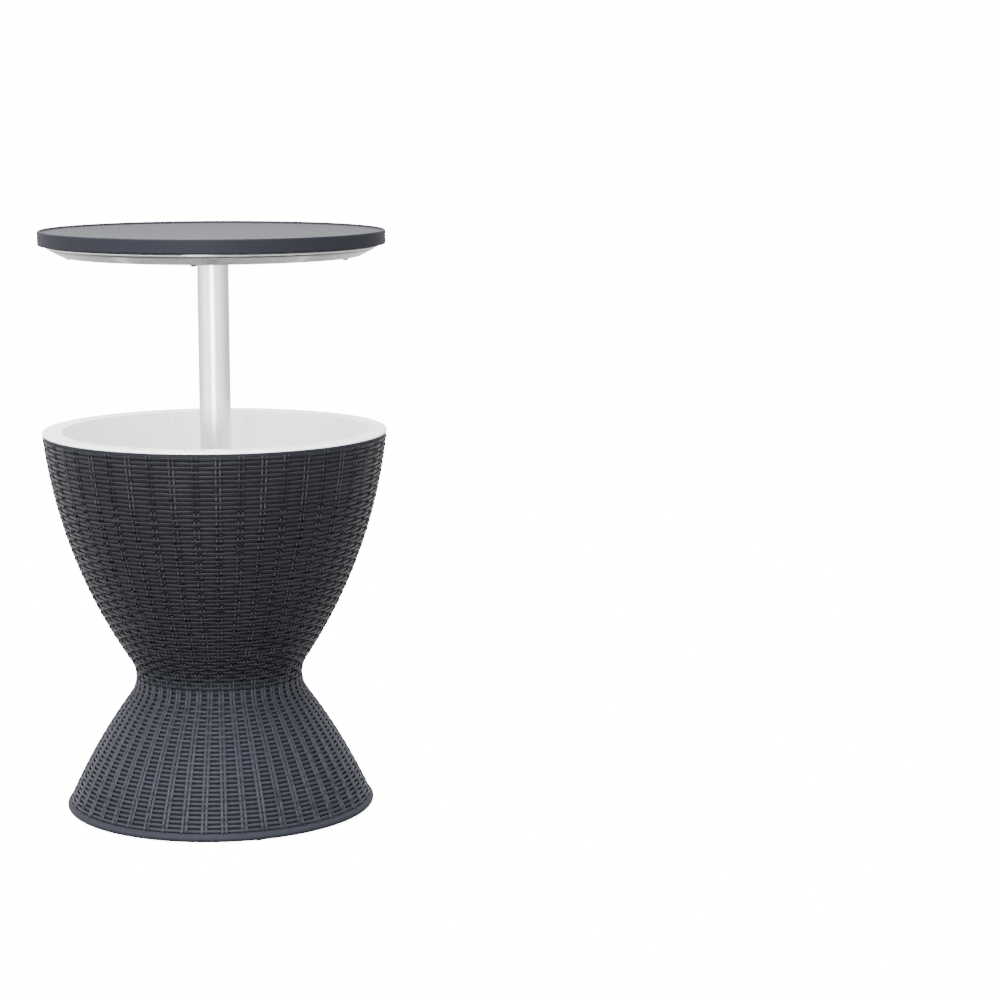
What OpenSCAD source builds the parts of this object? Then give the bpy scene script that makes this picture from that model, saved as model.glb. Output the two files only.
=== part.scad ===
// Cooler side table: a woven hourglass body with an ice bucket in its bowl, and a round
// table top on a pole that slides in a column in the bucket and closes it as a lid.
// Millimetres, +Z up. The origin is on the floor, on the pole's axis. The front is -Y.
// The table is drawn with its top raised.

/* [Body outline] */
// Outer radius of the bowl at its top edge
bowl_r = 248; // [246:0.5:256]
// Height of the bowl's top edge above the floor
bowl_z = 552.5; // [530:2.5:580]
// Radius where the bowl's and the base's curves would cross at the waist
knee_r = 110.2; // [106:0.2:116]
// Height where the two curves would cross
knee_z = 193.3; // [185:0.1:200]
// Radius of the bowl's bulging curve
bowl_curve_r = 747; // [640:1:900]
// Radius of the base's flaring curve
base_curve_r = 846; // [700:1:1100]
// Radius of the hollow curve that rounds the waist
waist_curve_r = 47; // [40:1:56]
// Outer radius of the woven base where its plain foot band starts
foot_r = 219.8; // [214:0.2:226]
// Height of the top of the plain foot band
foot_band_z = 14; // [12:0.5:18]
// Widest radius of the foot band
band_r = 224.4; // [222:0.2:228]
// Radius of the foot band's rounded edge
foot_round_r = 5; // [4:0.25:5.5]
// Height of the plain band between the woven rows and the bowl's top edge
rim_band = 4.5; // [3:0.5:8]
// Thickness of the woven walls
wall = 4; // [3.2:0.1:5]

/* [Weave] */
// Rounded rows woven round the base, from the foot band to the waist
base_rows = 32; // [16:1:40]
// Rounded rows woven round the bowl, from the waist to the rim
bowl_rows = 60; // [30:1:76]
// Depth of the groove between two rows
row_dip = 1.4; // [0.6:0.1:1.8]

/* [Feet] */
// Number of rubber pads
pad_count = 4; // [3:1:6]
// Angle of the first pad
pad_angle = 20; // [0:5:85]
// Radius of a pad
pad_r = 6.5; // [5:0.5:7]
// How far the pads lift the base off the floor
pad_gap = 1.6; // [1:0.1:3]
// Radius of the peg that holds a pad
peg_r = 3; // [2:0.25:3.5]
// How far the barb stands out round the peg's end
peg_barb = 0.8; // [0.4:0.1:1]
// Height of the barb
peg_barb_h = 2.2; // [1.6:0.1:3]
// How far the foot ring under the base reaches in past the pads
foot_ring_lip = 1; // [0.5:0.25:4]
// Thickness of the foot ring
foot_ring_t = 4; // [3:0.5:6]

/* [Waist joint] */
// Thickness of the base's top deck
deck_t = 4; // [3:0.5:6]
// Thickness of the bowl's floor plate
bowl_floor_t = 4; // [3:0.5:6]
// Number of screws that hold bowl and base together
waist_screw_count = 6; // [4:1:8]
// Radius of the circle of waist screws
waist_screw_ring_r = 92; // [84:1:98]
// Radius of a waist screw's shank
screw_r = 2.5; // [2:0.25:3]
// Height of the bosses that take the waist screws
boss_h = 16; // [12:1:20]
// Wall round the screw in a boss
boss_wall = 3; // [2.5:0.25:3.25]
// Radius of a waist screw's head
waist_head_r = 6; // [5:0.25:7]
// Height of a waist screw's head
waist_head_h = 3.4; // [2.6:0.2:4]
// Number of ribs that stiffen the deck under the waist
deck_ribs = 6; // [4:1:10]
// How far the deck's ribs reach down along the wall
deck_rib_h = 46; // [30:1:60]
// Height of the deck's ribs at their inner end
deck_rib_end_h = 8; // [5:1:12]
// Thickness of the ribs in the base, on the column and under the table top
rib_t = 3; // [2:0.25:4]

/* [Ice bucket] */
// Radius of the bucket's mouth
mouth_r = 219.5; // [214:0.5:222]
// Thickness of the bucket's flat rim
rim_t = 3.5; // [2.5:0.25:5]
// Thickness of the bucket's wall
bucket_wall = 3; // [2.5:0.25:4]
// Space between the bowl's outside and the bucket's inside, square to the wall
bucket_inset = 26; // [24:0.5:30]
// Height of the bucket's floor, inside
bucket_floor_z = 240; // [236:1:250]
// Radius of the round corner between wall and floor
bucket_corner_r = 22; // [16:1:28]
// Radius of the ring under the bucket that stands on the bowl's floor
stand_r = 62; // [56:1:70]
// How far below the bowl's edge the bucket's wall starts to lean out to its mouth
mouth_drop = 22; // [16:1:30]
// Height of the ring that centres the bucket in the bowl
centring_h = 7; // [5:0.5:10]
// Width of the rounded edge of the bucket's mouth
mouth_round = 2; // [1:0.25:3]

/* [Column] */
// Height of the column's top
column_z = 470; // [440:5:500]
// Outer radius of the column
column_r = 29; // [28:0.25:31]
// Thickness of the column's wall
column_wall = 3; // [2.5:0.25:3.5]
// Radius of the column's flange on the bucket's floor
column_flange_r = 42; // [38:0.5:50]
// Thickness of the column's flange
column_flange_t = 4; // [3:0.5:6]
// Thickness of the rubber ring under the flange
seal_t = 2; // [1.5:0.25:3]
// Number of gussets on the column's flange
gusset_count = 6; // [3:1:10]
// Height of the gussets
gusset_h = 26; // [16:1:40]
// Length of the bush that guides the pole
bush_len = 42; // [34:1:50]
// Thickness of the bush's lip on the column's top
bush_lip_t = 2; // [1.5:0.25:3]
// Height of the screwed ring on the column's mouth
collar_h = 18; // [14:1:24]
// Thickness of the screwed ring's wall
collar_wall = 4; // [3:0.5:5]
// Thickness of the screwed ring's cover over the bush
collar_cap_t = 3; // [2:0.5:4]
// Number of grip ribs on the screwed ring
collar_grips = 24; // [12:1:36]
// Radius of a grip rib
grip_r = 1; // [0.6:0.1:1.4]
// Height of the nut under the deck
nut_t = 10; // [8:0.5:14]
// Outer radius of the nut
nut_r = 42; // [38:0.5:48]
// Thickness of the nut's plate against the deck
nut_plate_t = 3; // [2:0.5:4]
// Wall of the nut's threaded sleeve
nut_wall = 5; // [4:0.5:6]
// Number of finger lugs on the nut
nut_lugs = 8; // [4:1:12]
// Width of a finger lug
nut_lug_w = 4; // [3:0.5:6]
// How far the plug reaches up in the column's foot
plug_len = 10; // [8:1:14]
// Thickness of the plug's cover under the column
plug_t = 4; // [3:0.5:6]

/* [Pole and lock] */
// Radius of the pole
pole_r = 22.5; // [21.5:0.25:23]
// Thickness of the pole's wall
pole_wall = 1.5; // [1:0.1:2.5]
// Height that the table top rises
travel = 254; // [200:2:260]
// Length of the lock's split ring
ring_len = 29; // [24:1:34]
// Radius of the cam inside the split ring
cam_r = 18; // [16:0.5:19]
// How far the cam is off the pole's axis
cam_offset = 2; // [1:0.25:2.5]
// Width of the ring's split
ring_slot = 4; // [2:0.5:6]
// Height of each grip groove in the ring's outside
groove_w = 2; // [1:0.5:3]
// Depth of the grip grooves
groove_d = 0.8; // [0.4:0.1:1.2]
// How far the middle of a grip groove is from the ring's end
groove_in = 7; // [4:0.5:9]
// Thickness of the disc that carries the ring
cam_disc_t = 4; // [3:0.5:6]
// Height of the plug's shoulder under the pole
shoulder_h = 3; // [2:0.5:5]
// Length of the plug inside the pole
cam_plug_len = 25; // [18:1:34]
// Wall round the hollow in the plug
cam_plug_wall = 7.5; // [5:0.5:10]
// Radius of the pin through pole and plug
pin_r = 2.5; // [1.5:0.25:3]

/* [Table top] */
// Radius of the table top
top_r = 247.5; // [244:0.5:256]
// Height of the table top's edge, lip included
top_h = 20.5; // [18:0.5:24]
// Gap between the bucket's rim and the edge of the closed table top
closed_gap = 12.5; // [10:0.5:16]
// Width of the raised lip
lip_w = 4.5; // [3.5:0.5:8]
// Height of the lip above the table's surface
lip_h = 3.2; // [2:0.2:5]
// Radius of the rounded edge of the table top
top_round_r = 2; // [1:0.25:3]
// Thickness of the table's plate and edge
top_wall = 4; // [3:0.5:5]
// Number of long ribs under the plate
top_ribs = 10; // [6:1:16]
// Height of the ribs under the plate
top_rib_h = 9; // [6:0.5:11]
// Radius of the round rib between hub and edge
ring_rib_r = 150; // [110:5:190]

/* [Lid pan] */
// Radius of the pan's upper edge
pan_r = 235; // [232:0.5:238]
// Radius of the pan's floor at its corner
pan_floor_r = 213.6; // [208:0.2:214]
// Thickness of the pan
pan_wall = 2.5; // [2:0.25:3]
// Depth of the pan below the edge of the table top
pan_depth = 16.5; // [14:0.5:20]
// Height of the bright edge band at the pan's top
pan_band_h = 2.5; // [1.5:0.25:4]
// How far the edge band stands out past the slanted side
pan_step = 1.5; // [1:0.25:2]
// How far the pan's edge reaches up inside the table top
pan_tuck = 6; // [4:0.5:9]
// Radius of the corner between the pan's floor and side
pan_corner_r = 1.5; // [1:0.25:2]
// Number of screws in the pan
pan_screw_count = 5; // [3:1:8]
// Radius of the circle of pan screws
pan_screw_ring_r = 205; // [198:0.5:205]
// Angle of the first pan screw
pan_screw_angle = -91; // [-108:1:-60]
// Radius of a pan screw's head
pan_head_r = 4.5; // [3.5:0.25:5]
// Height of a pan screw's head
pan_head_h = 2.6; // [2:0.2:3.5]
// How far a pan screw reaches into its boss
pan_screw_reach = 14; // [8:1:20]

/* [Hub] */
// Radius of the hub's flange
hub_r = 60; // [54:1:68]
// Thickness of the hub's flange
hub_t = 5; // [4:0.5:7]
// Thickness of the hub's socket wall
hub_wall = 5.5; // [4.5:0.25:7]
// How far the pole stands up past the hub's flange
socket_rise = 4; // [2:0.5:5]
// Thickness of the socket's closed end over the pole
socket_cap_t = 3; // [2:0.5:4]
// Number of gussets between socket and flange
hub_ribs = 6; // [3:1:8]
// Thickness of the hub's gussets
hub_rib_t = 4; // [3:0.5:6]
// Radius of the bolt through socket and pole
bolt_r = 3; // [2:0.25:3.25]
// Height of the bolt above the socket's lower end
bolt_up = 6; // [5.5:0.25:6.25]
// Radius over the corners of the bolt's head and nut
bolt_head_r = 5.8; // [5:0.1:6]
// Height of the bolt's head and nut
bolt_head_h = 4; // [3:0.5:6]
// Number of screws in the hub
hub_screw_count = 6; // [4:1:8]
// Radius of the circle of hub screws
hub_screw_ring_r = 47; // [45:0.5:50]
// Height of the table's bosses over the hub
hub_boss_h = 9; // [8:0.5:11]
// Radius of a hub screw's head
hub_head_r = 4.75; // [4:0.25:5.5]
// Height of a hub screw's head
hub_head_h = 2.6; // [2:0.2:3.5]

/* [Drain] */
// Height of the drain's middle on the outside of the bowl
drain_z = 239; // [237:0.5:244]
// Outer radius of the drain's threaded tube
spout_r = 8; // [7:0.5:9]
// Radius of the drain's bore
spout_bore_r = 5.5; // [4:0.25:6]
// How far the spout stands out of the bowl
spout_out = 19; // [17:0.5:24]
// Radius of the seats for the drain on bucket and bowl
seat_r = 17; // [16:0.5:19]
// How far the bucket's seat stands in from its wall
seat_step = 1.4; // [1:0.2:2]
// How far the bowl's seat stands out
seat_out = 1.6; // [1:0.2:2.4]
// Thickness of the rim round the sunk face of the bucket's seat
seat_rim = 2.6; // [1.6:0.2:3]
// Thickness of the spout's flange
spout_flange_t = 3; // [2:0.5:4]
// Thickness of the drain's nut
drain_nut_t = 6; // [5:0.5:8]
// Radius over the corners of the drain's nut
drain_nut_r = 14; // [12:0.5:16]
// Radius of the drain's cap
cap_r = 14; // [12:0.5:16]
// Space between the drain's nut and the closed cap
cap_gap = 1; // [0.5:0.25:2]
// Thickness of the cap's end
cap_end_t = 2.5; // [2:0.25:4]
// Thickness of the disc that seals the spout's mouth
gasket_t = 2; // [1.5:0.25:3]
// Number of grip ribs on the cap
cap_grips = 12; // [8:1:20]

/* [Fits] */
// Gap round a screw in its hole
screw_gap = 0.05; // [0.03:0.01:0.1]
// Gap round a piece that slides or turns in another
run_gap = 0.06; // [0.03:0.01:0.09]
// Gap between pieces that stay clear of each other
clear = 0.3; // [0.2:0.05:0.5]
// Gap round a part that passes through a hole
pass_gap = 0.4; // [0.3:0.1:0.8]

/* [Hidden] */
$fn = 120;

// Heights, from the rim up to the raised table top
rim_z = bowl_z + rim_t;
skirt_z = rim_z + closed_gap + travel;
top_z = skirt_z + top_h;
surface_z = top_z - lip_h;
plate_z = surface_z - top_wall;
pan_z = skirt_z - pan_depth;
hub_top_z = plate_z - hub_boss_h;
pole_top_z = hub_top_z + socket_rise;
pole_hub_low_z = pan_z + pan_wall + 1;
bolt_z = pole_hub_low_z + bolt_up;
socket_r = pole_r + hub_wall;

// Heights inside the column
bush_z = column_z - bush_len;
pole_foot_z = bush_z + shoulder_h;
ring_top_z = bush_z - clear;
ring_z = ring_top_z - ring_len;
cam_foot_z = ring_z - clear - cam_disc_t;
pin_z = pole_foot_z + cam_plug_len / 2;
column_floor_z = cam_foot_z - travel - clear;
column_foot_z = column_floor_z - plug_len;
bore_r = column_r - column_wall;

// Angle of the line from c to p
function angle_to(c, p) = atan2(p[1] - c[1], p[0] - c[0]);
// Point at radius q and angle a round c
function on_circle(c, q, a) = c + q * [cos(a), sin(a)];
// Centre of the circle of radius q through a and b, on the left of the way from a to b
function centre_left(a, b, q) =
    let (m = (a + b) / 2, d = b - a)
    m + sqrt(q * q - (d * d) / 4) * [-d[1], d[0]] / norm(d);
// Where circles of radius q1 round c1 and q2 round c2 meet, on the right of the way from c1 to c2
function meet_right(c1, q1, c2, q2) =
    let (d = norm(c2 - c1), u = (c2 - c1) / d, a = (q1 * q1 - q2 * q2 + d * d) / (2 * d))
    c1 + a * u + sqrt(q1 * q1 - a * a) * [u[1], -u[0]];

// The outline is three arcs that meet without a kink: base, waist and bowl
knee = [knee_r, knee_z];
bowl_c = centre_left(knee, [bowl_r, bowl_z], bowl_curve_r);
base_c = centre_left([foot_r, foot_band_z], knee, base_curve_r);
waist_c = meet_right(base_c, base_curve_r + waist_curve_r, bowl_c, bowl_curve_r + waist_curve_r);
foot_a = angle_to(base_c, [foot_r, foot_band_z]);
base_a = angle_to(base_c, waist_c);
bowl_a = angle_to(bowl_c, waist_c);
rim_a = angle_to(bowl_c, [bowl_r, bowl_z]);
waist_z = waist_c[1];
deck_z = waist_z - deck_t;
bowl_floor_z = waist_z + bowl_floor_t;
// Angle that an arc of length s and radius q turns through
function turn(s, q) = s / q * 180 / PI;
base_arc_len = (base_a - foot_a) * PI / 180 * base_curve_r;
low_waist_len = base_a * PI / 180 * waist_curve_r;
high_waist_len = -bowl_a * PI / 180 * waist_curve_r;
bowl_arc_len = (rim_a - bowl_a) * PI / 180 * bowl_curve_r;
base_len = base_arc_len + low_waist_len;
bowl_len = bowl_arc_len + high_waist_len;
// Point s along the base's outline from the foot band up, moved out by off
function base_point(s, off) = s < base_arc_len
    ? on_circle(base_c, base_curve_r + off, foot_a + turn(s, base_curve_r))
    : on_circle(waist_c, off - waist_curve_r, base_a - turn(s - base_arc_len, waist_curve_r));
// Point s along the bowl's outline from the waist up, moved out by off
function bowl_point(s, off) = s > high_waist_len
    ? on_circle(bowl_c, bowl_curve_r + off, bowl_a + turn(s - high_waist_len, bowl_curve_r))
    : on_circle(waist_c, off - waist_curve_r, -turn(s, waist_curve_r));
// Radius of the bowl at height z, moved out by off
function bowl_r_at(z, off) = bowl_c[0] + sqrt(pow(bowl_curve_r + off, 2) - pow(bowl_c[1] - z, 2));
// Radius of the base's inner wall at height z
function base_in_r(z) = base_c[0] + sqrt(pow(base_curve_r - wall, 2) - pow(base_c[1] - z, 2));
// Depth of a row's outline at the quarter k of its width
row_quarter = [-row_dip, -row_dip / 4, 0, -row_dip / 4];

// The drain's axis stands square to the bowl at the back and slopes down
drain_n = let (r = bowl_r_at(drain_z, 0)) [r - bowl_c[0], drain_z - bowl_c[1]] / bowl_curve_r;
drain_tilt = atan2(drain_n[1], drain_n[0]);
seat_in = bucket_inset + seat_step;
seat_gap_in = wall + 3;

// The pads' pegs stand just inside the base's wall, and the foot ring reaches in past the pads
pad_ring_r = base_in_r(foot_band_z) - peg_r - peg_barb - clear;
foot_ring_r = pad_ring_r - pad_r - foot_ring_lip;
foot_ring_z = pad_gap + foot_ring_t;

// How far shapes of one piece run into each other, and how far a cut runs out of its piece
sink = 1;
// Size of a small broken edge
edge = 0.6;
// How far a screw stops short of the end of its hole
short = 1;
// Shares of a screw head's height and radius up to its crown, and of the shank for its socket
head_side = 0.4;
head_crown = 0.65;
head_socket = 0.65;
// Steps along the bucket's wall, the bowl's inner wall and the base's inner wall
bucket_steps = 12;
bowl_steps = 16;
base_steps = 8;

echo(waist_r = waist_c[0] - waist_curve_r, waist_z = waist_z, drain_n = drain_n);
echo(drain_point = [bowl_r_at(drain_z, 0), drain_z], top_z = top_z, surface_z = surface_z);
echo(pan_z = pan_z, column_foot_z = column_foot_z, pad_ring_r = pad_ring_r);

// Places its children n times round the axis, at radius r, from angle a0
module ring_of(n, r = 0, a0 = 0) {
    for (i = [0 : n - 1]) {
        rotate([0, 0, a0 + i * 360 / n]) translate([r, 0, 0]) children();
    }
}

// A tube of outer radius ro and inner radius ri from z0 to z1
module tube(ro, ri, z0, z1) {
    rotate_extrude() translate([ri, z0]) square([ro - ri, z1 - z0]);
}

// A round rod of radius r from z0 to z1
module rod(r, z0, z1) {
    translate([0, 0, z0]) cylinder(r = r, h = z1 - z0);
}

// A screw that points up, with its head's face at face_z, and a six-sided socket in its crown
module screw(head_r, head_h, face_z, tip_z) {
    rod(screw_r, face_z - edge, tip_z);
    translate([0, 0, face_z]) mirror([0, 0, 1]) difference() {
        union() {
            cylinder(r = head_r, h = head_h * head_side);
            translate([0, 0, head_h * head_side])
                cylinder(r1 = head_r, r2 = head_r * head_crown, h = head_h * (1 - head_side));
        }
        translate([0, 0, head_h / 2]) cylinder(r = screw_r * head_socket, h = head_h, $fn = 6);
    }
}

// Places its children at the drain, with +Z out along the drain's axis and 0 on the bowl
module at_drain() {
    translate([0, bowl_r_at(drain_z, 0), drain_z]) rotate([drain_tilt - 90, 0, 0]) children();
}

// Woven base with its foot band, foot ring and deck
module base_pedestal() {
    pitch = base_len / base_rows;
    inner_top = base_in_r(deck_z);
    inner_low = deck_z - 3 * deck_t;
    rib_foot_z = deck_z - deck_rib_h;
    rib_in = nut_r + 2 * nut_lug_w;
    color([0.33, 0.34, 0.38]) difference() {
        union() {
            rotate_extrude() polygon(concat(
                [[foot_ring_r, pad_gap]],
                [for (a = [-90 : 30 : 60])
                    on_circle([band_r - foot_round_r, pad_gap + foot_round_r], foot_round_r, a)],
                [for (i = [0 : base_rows - 1], k = [0 : 3])
                    base_point((i + k / 4) * pitch, row_quarter[k])],
                [base_point(base_len, -row_dip)],
                [[column_r + pass_gap, waist_z], [column_r + pass_gap, deck_z], [inner_top, deck_z]],
                [for (i = [base_steps : -1 : 0])
                    let (z = foot_band_z + (inner_low - foot_band_z) * i / base_steps)
                    [base_in_r(z), z]],
                [[base_in_r(foot_band_z), foot_ring_z], [foot_ring_r, foot_ring_z]]));
            ring_of(deck_ribs, 0, 360 / deck_ribs / 2) rotate([90, 0, 0])
                linear_extrude(rib_t, center = true) polygon([
                    [rib_in, deck_z + sink],
                    [base_in_r(deck_z - sink) + sink, deck_z + sink],
                    [base_in_r(rib_foot_z) + sink, rib_foot_z],
                    [base_in_r(rib_foot_z) - wall, rib_foot_z],
                    [rib_in, deck_z - deck_rib_end_h]]);
        }
        ring_of(waist_screw_count, waist_screw_ring_r)
            rod(screw_r + pass_gap, deck_z - sink, waist_z + sink);
        ring_of(pad_count, pad_ring_r, pad_angle) rod(peg_r + screw_gap, 0, foot_ring_z + sink);
    }
}

// Rubber pads with their barbed pegs
module foot_pads() {
    color([0.12, 0.12, 0.13]) ring_of(pad_count, pad_ring_r, pad_angle) {
        rod(pad_r, 0, pad_gap);
        rod(peg_r, 0, foot_ring_z + sink);
        translate([0, 0, foot_ring_z])
            cylinder(r1 = peg_r + peg_barb, r2 = peg_r - peg_barb, h = peg_barb_h);
    }
}

// Woven bowl with its floor plate
module bowl_shell() {
    rows_len = bowl_len - rim_band;
    pitch = rows_len / bowl_rows;
    low = waist_curve_r * PI / 180 * asin(bowl_floor_t / (waist_curve_r + wall));
    color([0.16, 0.16, 0.17]) difference() {
        union() {
            rotate_extrude() polygon(concat(
                [[column_r + pass_gap, waist_z]],
                [for (i = [0 : bowl_rows - 1], k = [0 : 3])
                    bowl_point((i + k / 4) * pitch, row_quarter[k])],
                [bowl_point(rows_len, -row_dip), [bowl_r - row_dip, bowl_z], [bowl_r - wall, bowl_z]],
                [for (i = [bowl_steps : -1 : 0])
                    bowl_point(low + (bowl_len - low) * i / (bowl_steps + 0.5), -wall)],
                [[column_r + pass_gap, bowl_floor_z]]));
            ring_of(waist_screw_count, waist_screw_ring_r)
                rod(screw_r + boss_wall, waist_z + sink, waist_z + boss_h);
            at_drain() rod(seat_r, -seat_gap_in, seat_out);
        }
        ring_of(waist_screw_count, waist_screw_ring_r)
            rod(screw_r + screw_gap, waist_z - sink, waist_z + boss_h - 2 * short);
        at_drain() rod(spout_r + pass_gap, -2 * seat_gap_in, seat_r);
    }
}

// Screws from under the deck into the bowl's bosses
module waist_screws() {
    color([0.7, 0.71, 0.72]) ring_of(waist_screw_count, waist_screw_ring_r)
        screw(waist_head_r, waist_head_h, deck_z, waist_z + boss_h - 3 * short);
}

// White bucket: flat rim, wall that follows the bowl, round corner, floor and standing ring
module ice_liner() {
    in = -bucket_inset;
    out = in + bucket_wall;
    corner_z = bucket_floor_z + bucket_corner_r;
    corner_c = [bowl_r_at(corner_z, in - bucket_corner_r), corner_z];
    corner_end = angle_to(bowl_c, corner_c);
    wall_z = corner_z + bucket_corner_r * sin(corner_end);
    wall_h = bowl_z - mouth_drop - wall_z;
    centring_z = bowl_z - centring_h;
    centring_r = bowl_r_at(centring_z, -wall) - pass_gap;
    color([0.93, 0.93, 0.93]) difference() {
        union() {
            rotate_extrude() polygon(concat(
                [[column_r + pass_gap, bucket_floor_z]],
                [for (i = [0 : 5]) on_circle(corner_c, bucket_corner_r,
                    -90 + (90 + corner_end) * i / 5)],
                [for (i = [1 : bucket_steps]) let (z = wall_z + wall_h * i / bucket_steps)
                    [bowl_r_at(z, in), z]],
                [[mouth_r, rim_z - mouth_round], [mouth_r + edge, rim_z - edge]],
                [[mouth_r + mouth_round, rim_z], [bowl_r - 2 * edge, rim_z]],
                [[bowl_r - edge, rim_z - edge], [bowl_r - edge, bowl_z]],
                [[mouth_r + bucket_wall + edge, bowl_z]],
                [for (i = [bucket_steps : -1 : 0]) let (z = wall_z + wall_h * i / bucket_steps)
                    [bowl_r_at(z, out), z]],
                [for (i = [4 : -1 : 0]) on_circle(corner_c, bucket_corner_r + bucket_wall,
                    -90 + (90 + corner_end) * i / 5)],
                [[column_r + pass_gap, bucket_floor_z - bucket_wall]]));
            tube(centring_r, centring_r - bucket_wall, centring_z, bowl_z + sink);
            tube(stand_r, stand_r - bucket_wall, bowl_floor_z, bucket_floor_z - sink);
            at_drain() rod(seat_r, -seat_in, -seat_gap_in - clear);
        }
        at_drain() rod(spout_r + pass_gap, -seat_in - seat_r, 0);
        at_drain() rod(seat_r - seat_rim, -seat_in - seat_r, -seat_in);
    }
}

// Column with its flange, a closed guide for the pole
module guide_column() {
    flange_z = bucket_floor_z + seal_t;
    flange_top_z = flange_z + column_flange_t;
    color([0.9, 0.9, 0.9]) {
        tube(column_r, bore_r, column_foot_z, column_z);
        rotate_extrude() polygon([
            [bore_r + sink, flange_z], [column_flange_r, flange_z],
            [column_flange_r, flange_top_z - 2 * edge], [column_flange_r - 2 * edge, flange_top_z],
            [bore_r + sink, flange_top_z]]);
        ring_of(gusset_count) rotate([90, 0, 0]) linear_extrude(rib_t, center = true) polygon([
            [column_r - sink, flange_top_z - edge],
            [column_flange_r - column_wall, flange_top_z - edge],
            [column_r - sink, flange_top_z + gusset_h]]);
    }
}

// Bush with a lip that rests on the column's top
module guide_bush() {
    out = bore_r - screw_gap;
    in = pole_r + run_gap;
    lip_z = column_z + bush_lip_t;
    color([0.2, 0.2, 0.21]) rotate_extrude() polygon([
        [in, bush_z], [out, bush_z], [out, column_z], [column_r - edge, column_z],
        [column_r - edge, lip_z], [in + edge, lip_z], [in, lip_z - edge]]);
}

// Screwed ring over the column's mouth, with grip ribs
module column_collar() {
    lip_z = column_z + bush_lip_t;
    cap_z = lip_z + collar_cap_t;
    low_z = cap_z - collar_h;
    out = column_r + collar_wall;
    in = pole_r + pass_gap;
    color([0.85, 0.85, 0.85]) {
        rotate_extrude() polygon([
            [column_r + screw_gap, low_z], [out, low_z], [out, lip_z + sink],
            [out - 3 * edge, cap_z], [in + edge, cap_z], [in, cap_z - edge], [in, lip_z],
            [column_r + screw_gap, lip_z]]);
        ring_of(collar_grips, out) rod(grip_r, low_z + sink, lip_z - sink);
    }
}

// Rubber ring under the column's flange
module column_seal() {
    color([0.1, 0.1, 0.1])
        tube(column_flange_r - sink, column_r + pass_gap, bucket_floor_z, bucket_floor_z + seal_t);
}

// Large nut under the deck, with finger lugs
module column_nut() {
    bore = column_r + screw_gap;
    sleeve = column_r + nut_wall;
    lug_z = deck_z - nut_t + sink;
    color([0.85, 0.85, 0.85]) {
        tube(nut_r, bore, deck_z - nut_plate_t, deck_z);
        tube(sleeve, bore, deck_z - nut_t, deck_z);
        ring_of(nut_lugs) translate([sleeve - sink, -nut_lug_w / 2, lug_z])
            cube([nut_r - sleeve + sink, nut_lug_w, deck_z - sink - lug_z]);
    }
}

// Plug in the column's foot
module column_plug() {
    color([0.8, 0.8, 0.8]) {
        rod(bore_r - screw_gap, column_foot_z - sink, column_floor_z);
        rod(column_r, column_foot_z - plug_t, column_foot_z);
    }
}

// Threaded drain tube with its flange inside the bucket
module drain_spout() {
    face = -seat_in - seal_t;
    color([0.15, 0.15, 0.16]) at_drain() difference() {
        union() {
            rod(spout_r, face - sink, spout_out);
            rod(seat_r - seat_rim - pass_gap, face - spout_flange_t, face);
        }
        rod(spout_bore_r, face - spout_flange_t - sink, spout_out + sink);
    }
}

// Rubber ring between the spout's flange and the bucket
module drain_seal() {
    color([0.1, 0.1, 0.1]) at_drain()
        tube(seat_r - seat_rim - 2 * pass_gap, spout_r + screw_gap, -seat_in - seal_t, -seat_in);
}

// Six-sided nut on the spout, against the bowl
module drain_nut() {
    color([0.15, 0.15, 0.16]) at_drain() difference() {
        rotate([0, 0, 30]) translate([0, 0, seat_out])
            cylinder(r = drain_nut_r, h = drain_nut_t, $fn = 6);
        rod(spout_r + screw_gap, seat_out - sink, seat_out + drain_nut_t + sink);
    }
}

// Disc that seals the spout's mouth
module drain_gasket() {
    color([0.1, 0.1, 0.1]) at_drain() rod(spout_r - edge, spout_out, spout_out + gasket_t);
}

// Screw cap with grip ribs
module drain_cap() {
    low = seat_out + drain_nut_t + cap_gap;
    bore = spout_r + clear;
    out = cap_r - grip_r;
    face = spout_out + gasket_t;
    end = face + cap_end_t;
    color([0.15, 0.15, 0.16]) at_drain() {
        rotate_extrude() polygon([
            [0, face], [bore, face], [bore, low], [out, low], [out, end - 2 * edge],
            [out - 2 * edge, end], [0, end]]);
        ring_of(cap_grips, out) rod(grip_r, low, face + edge);
    }
}

// Split ring that grips the column's bore when the cam turns
module lock_ring() {
    bore = cam_r + cam_offset + run_gap;
    out = bore_r - run_gap;
    color([0.75, 0.75, 0.76]) difference() {
        tube(out, bore, ring_z, ring_top_z);
        translate([0, -ring_slot / 2, ring_z - sink]) cube([column_r, ring_slot, ring_len + 2 * sink]);
        for (z = [ring_z + groove_in, ring_top_z - groove_in]) {
            tube(out + sink, out - groove_d, z - groove_w / 2, z + groove_w / 2);
        }
    }
}

// A rod of radius r right across the pole, along X or, with turned, along Y
module cross_rod(r, z, length, turned = false) {
    translate([0, 0, z]) rotate([0, 90, turned ? 90 : 0]) cylinder(r = r, h = length, center = true);
}

// Tube that carries the table top, with a cross hole at each end
module pole() {
    color([0.85, 0.86, 0.87]) difference() {
        tube(pole_r, pole_r - pole_wall, pole_foot_z, pole_top_z);
        cross_rod(pin_r + screw_gap, pin_z, 3 * pole_r, true);
        cross_rod(bolt_r + screw_gap, bolt_z, 3 * pole_r);
    }
}

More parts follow.
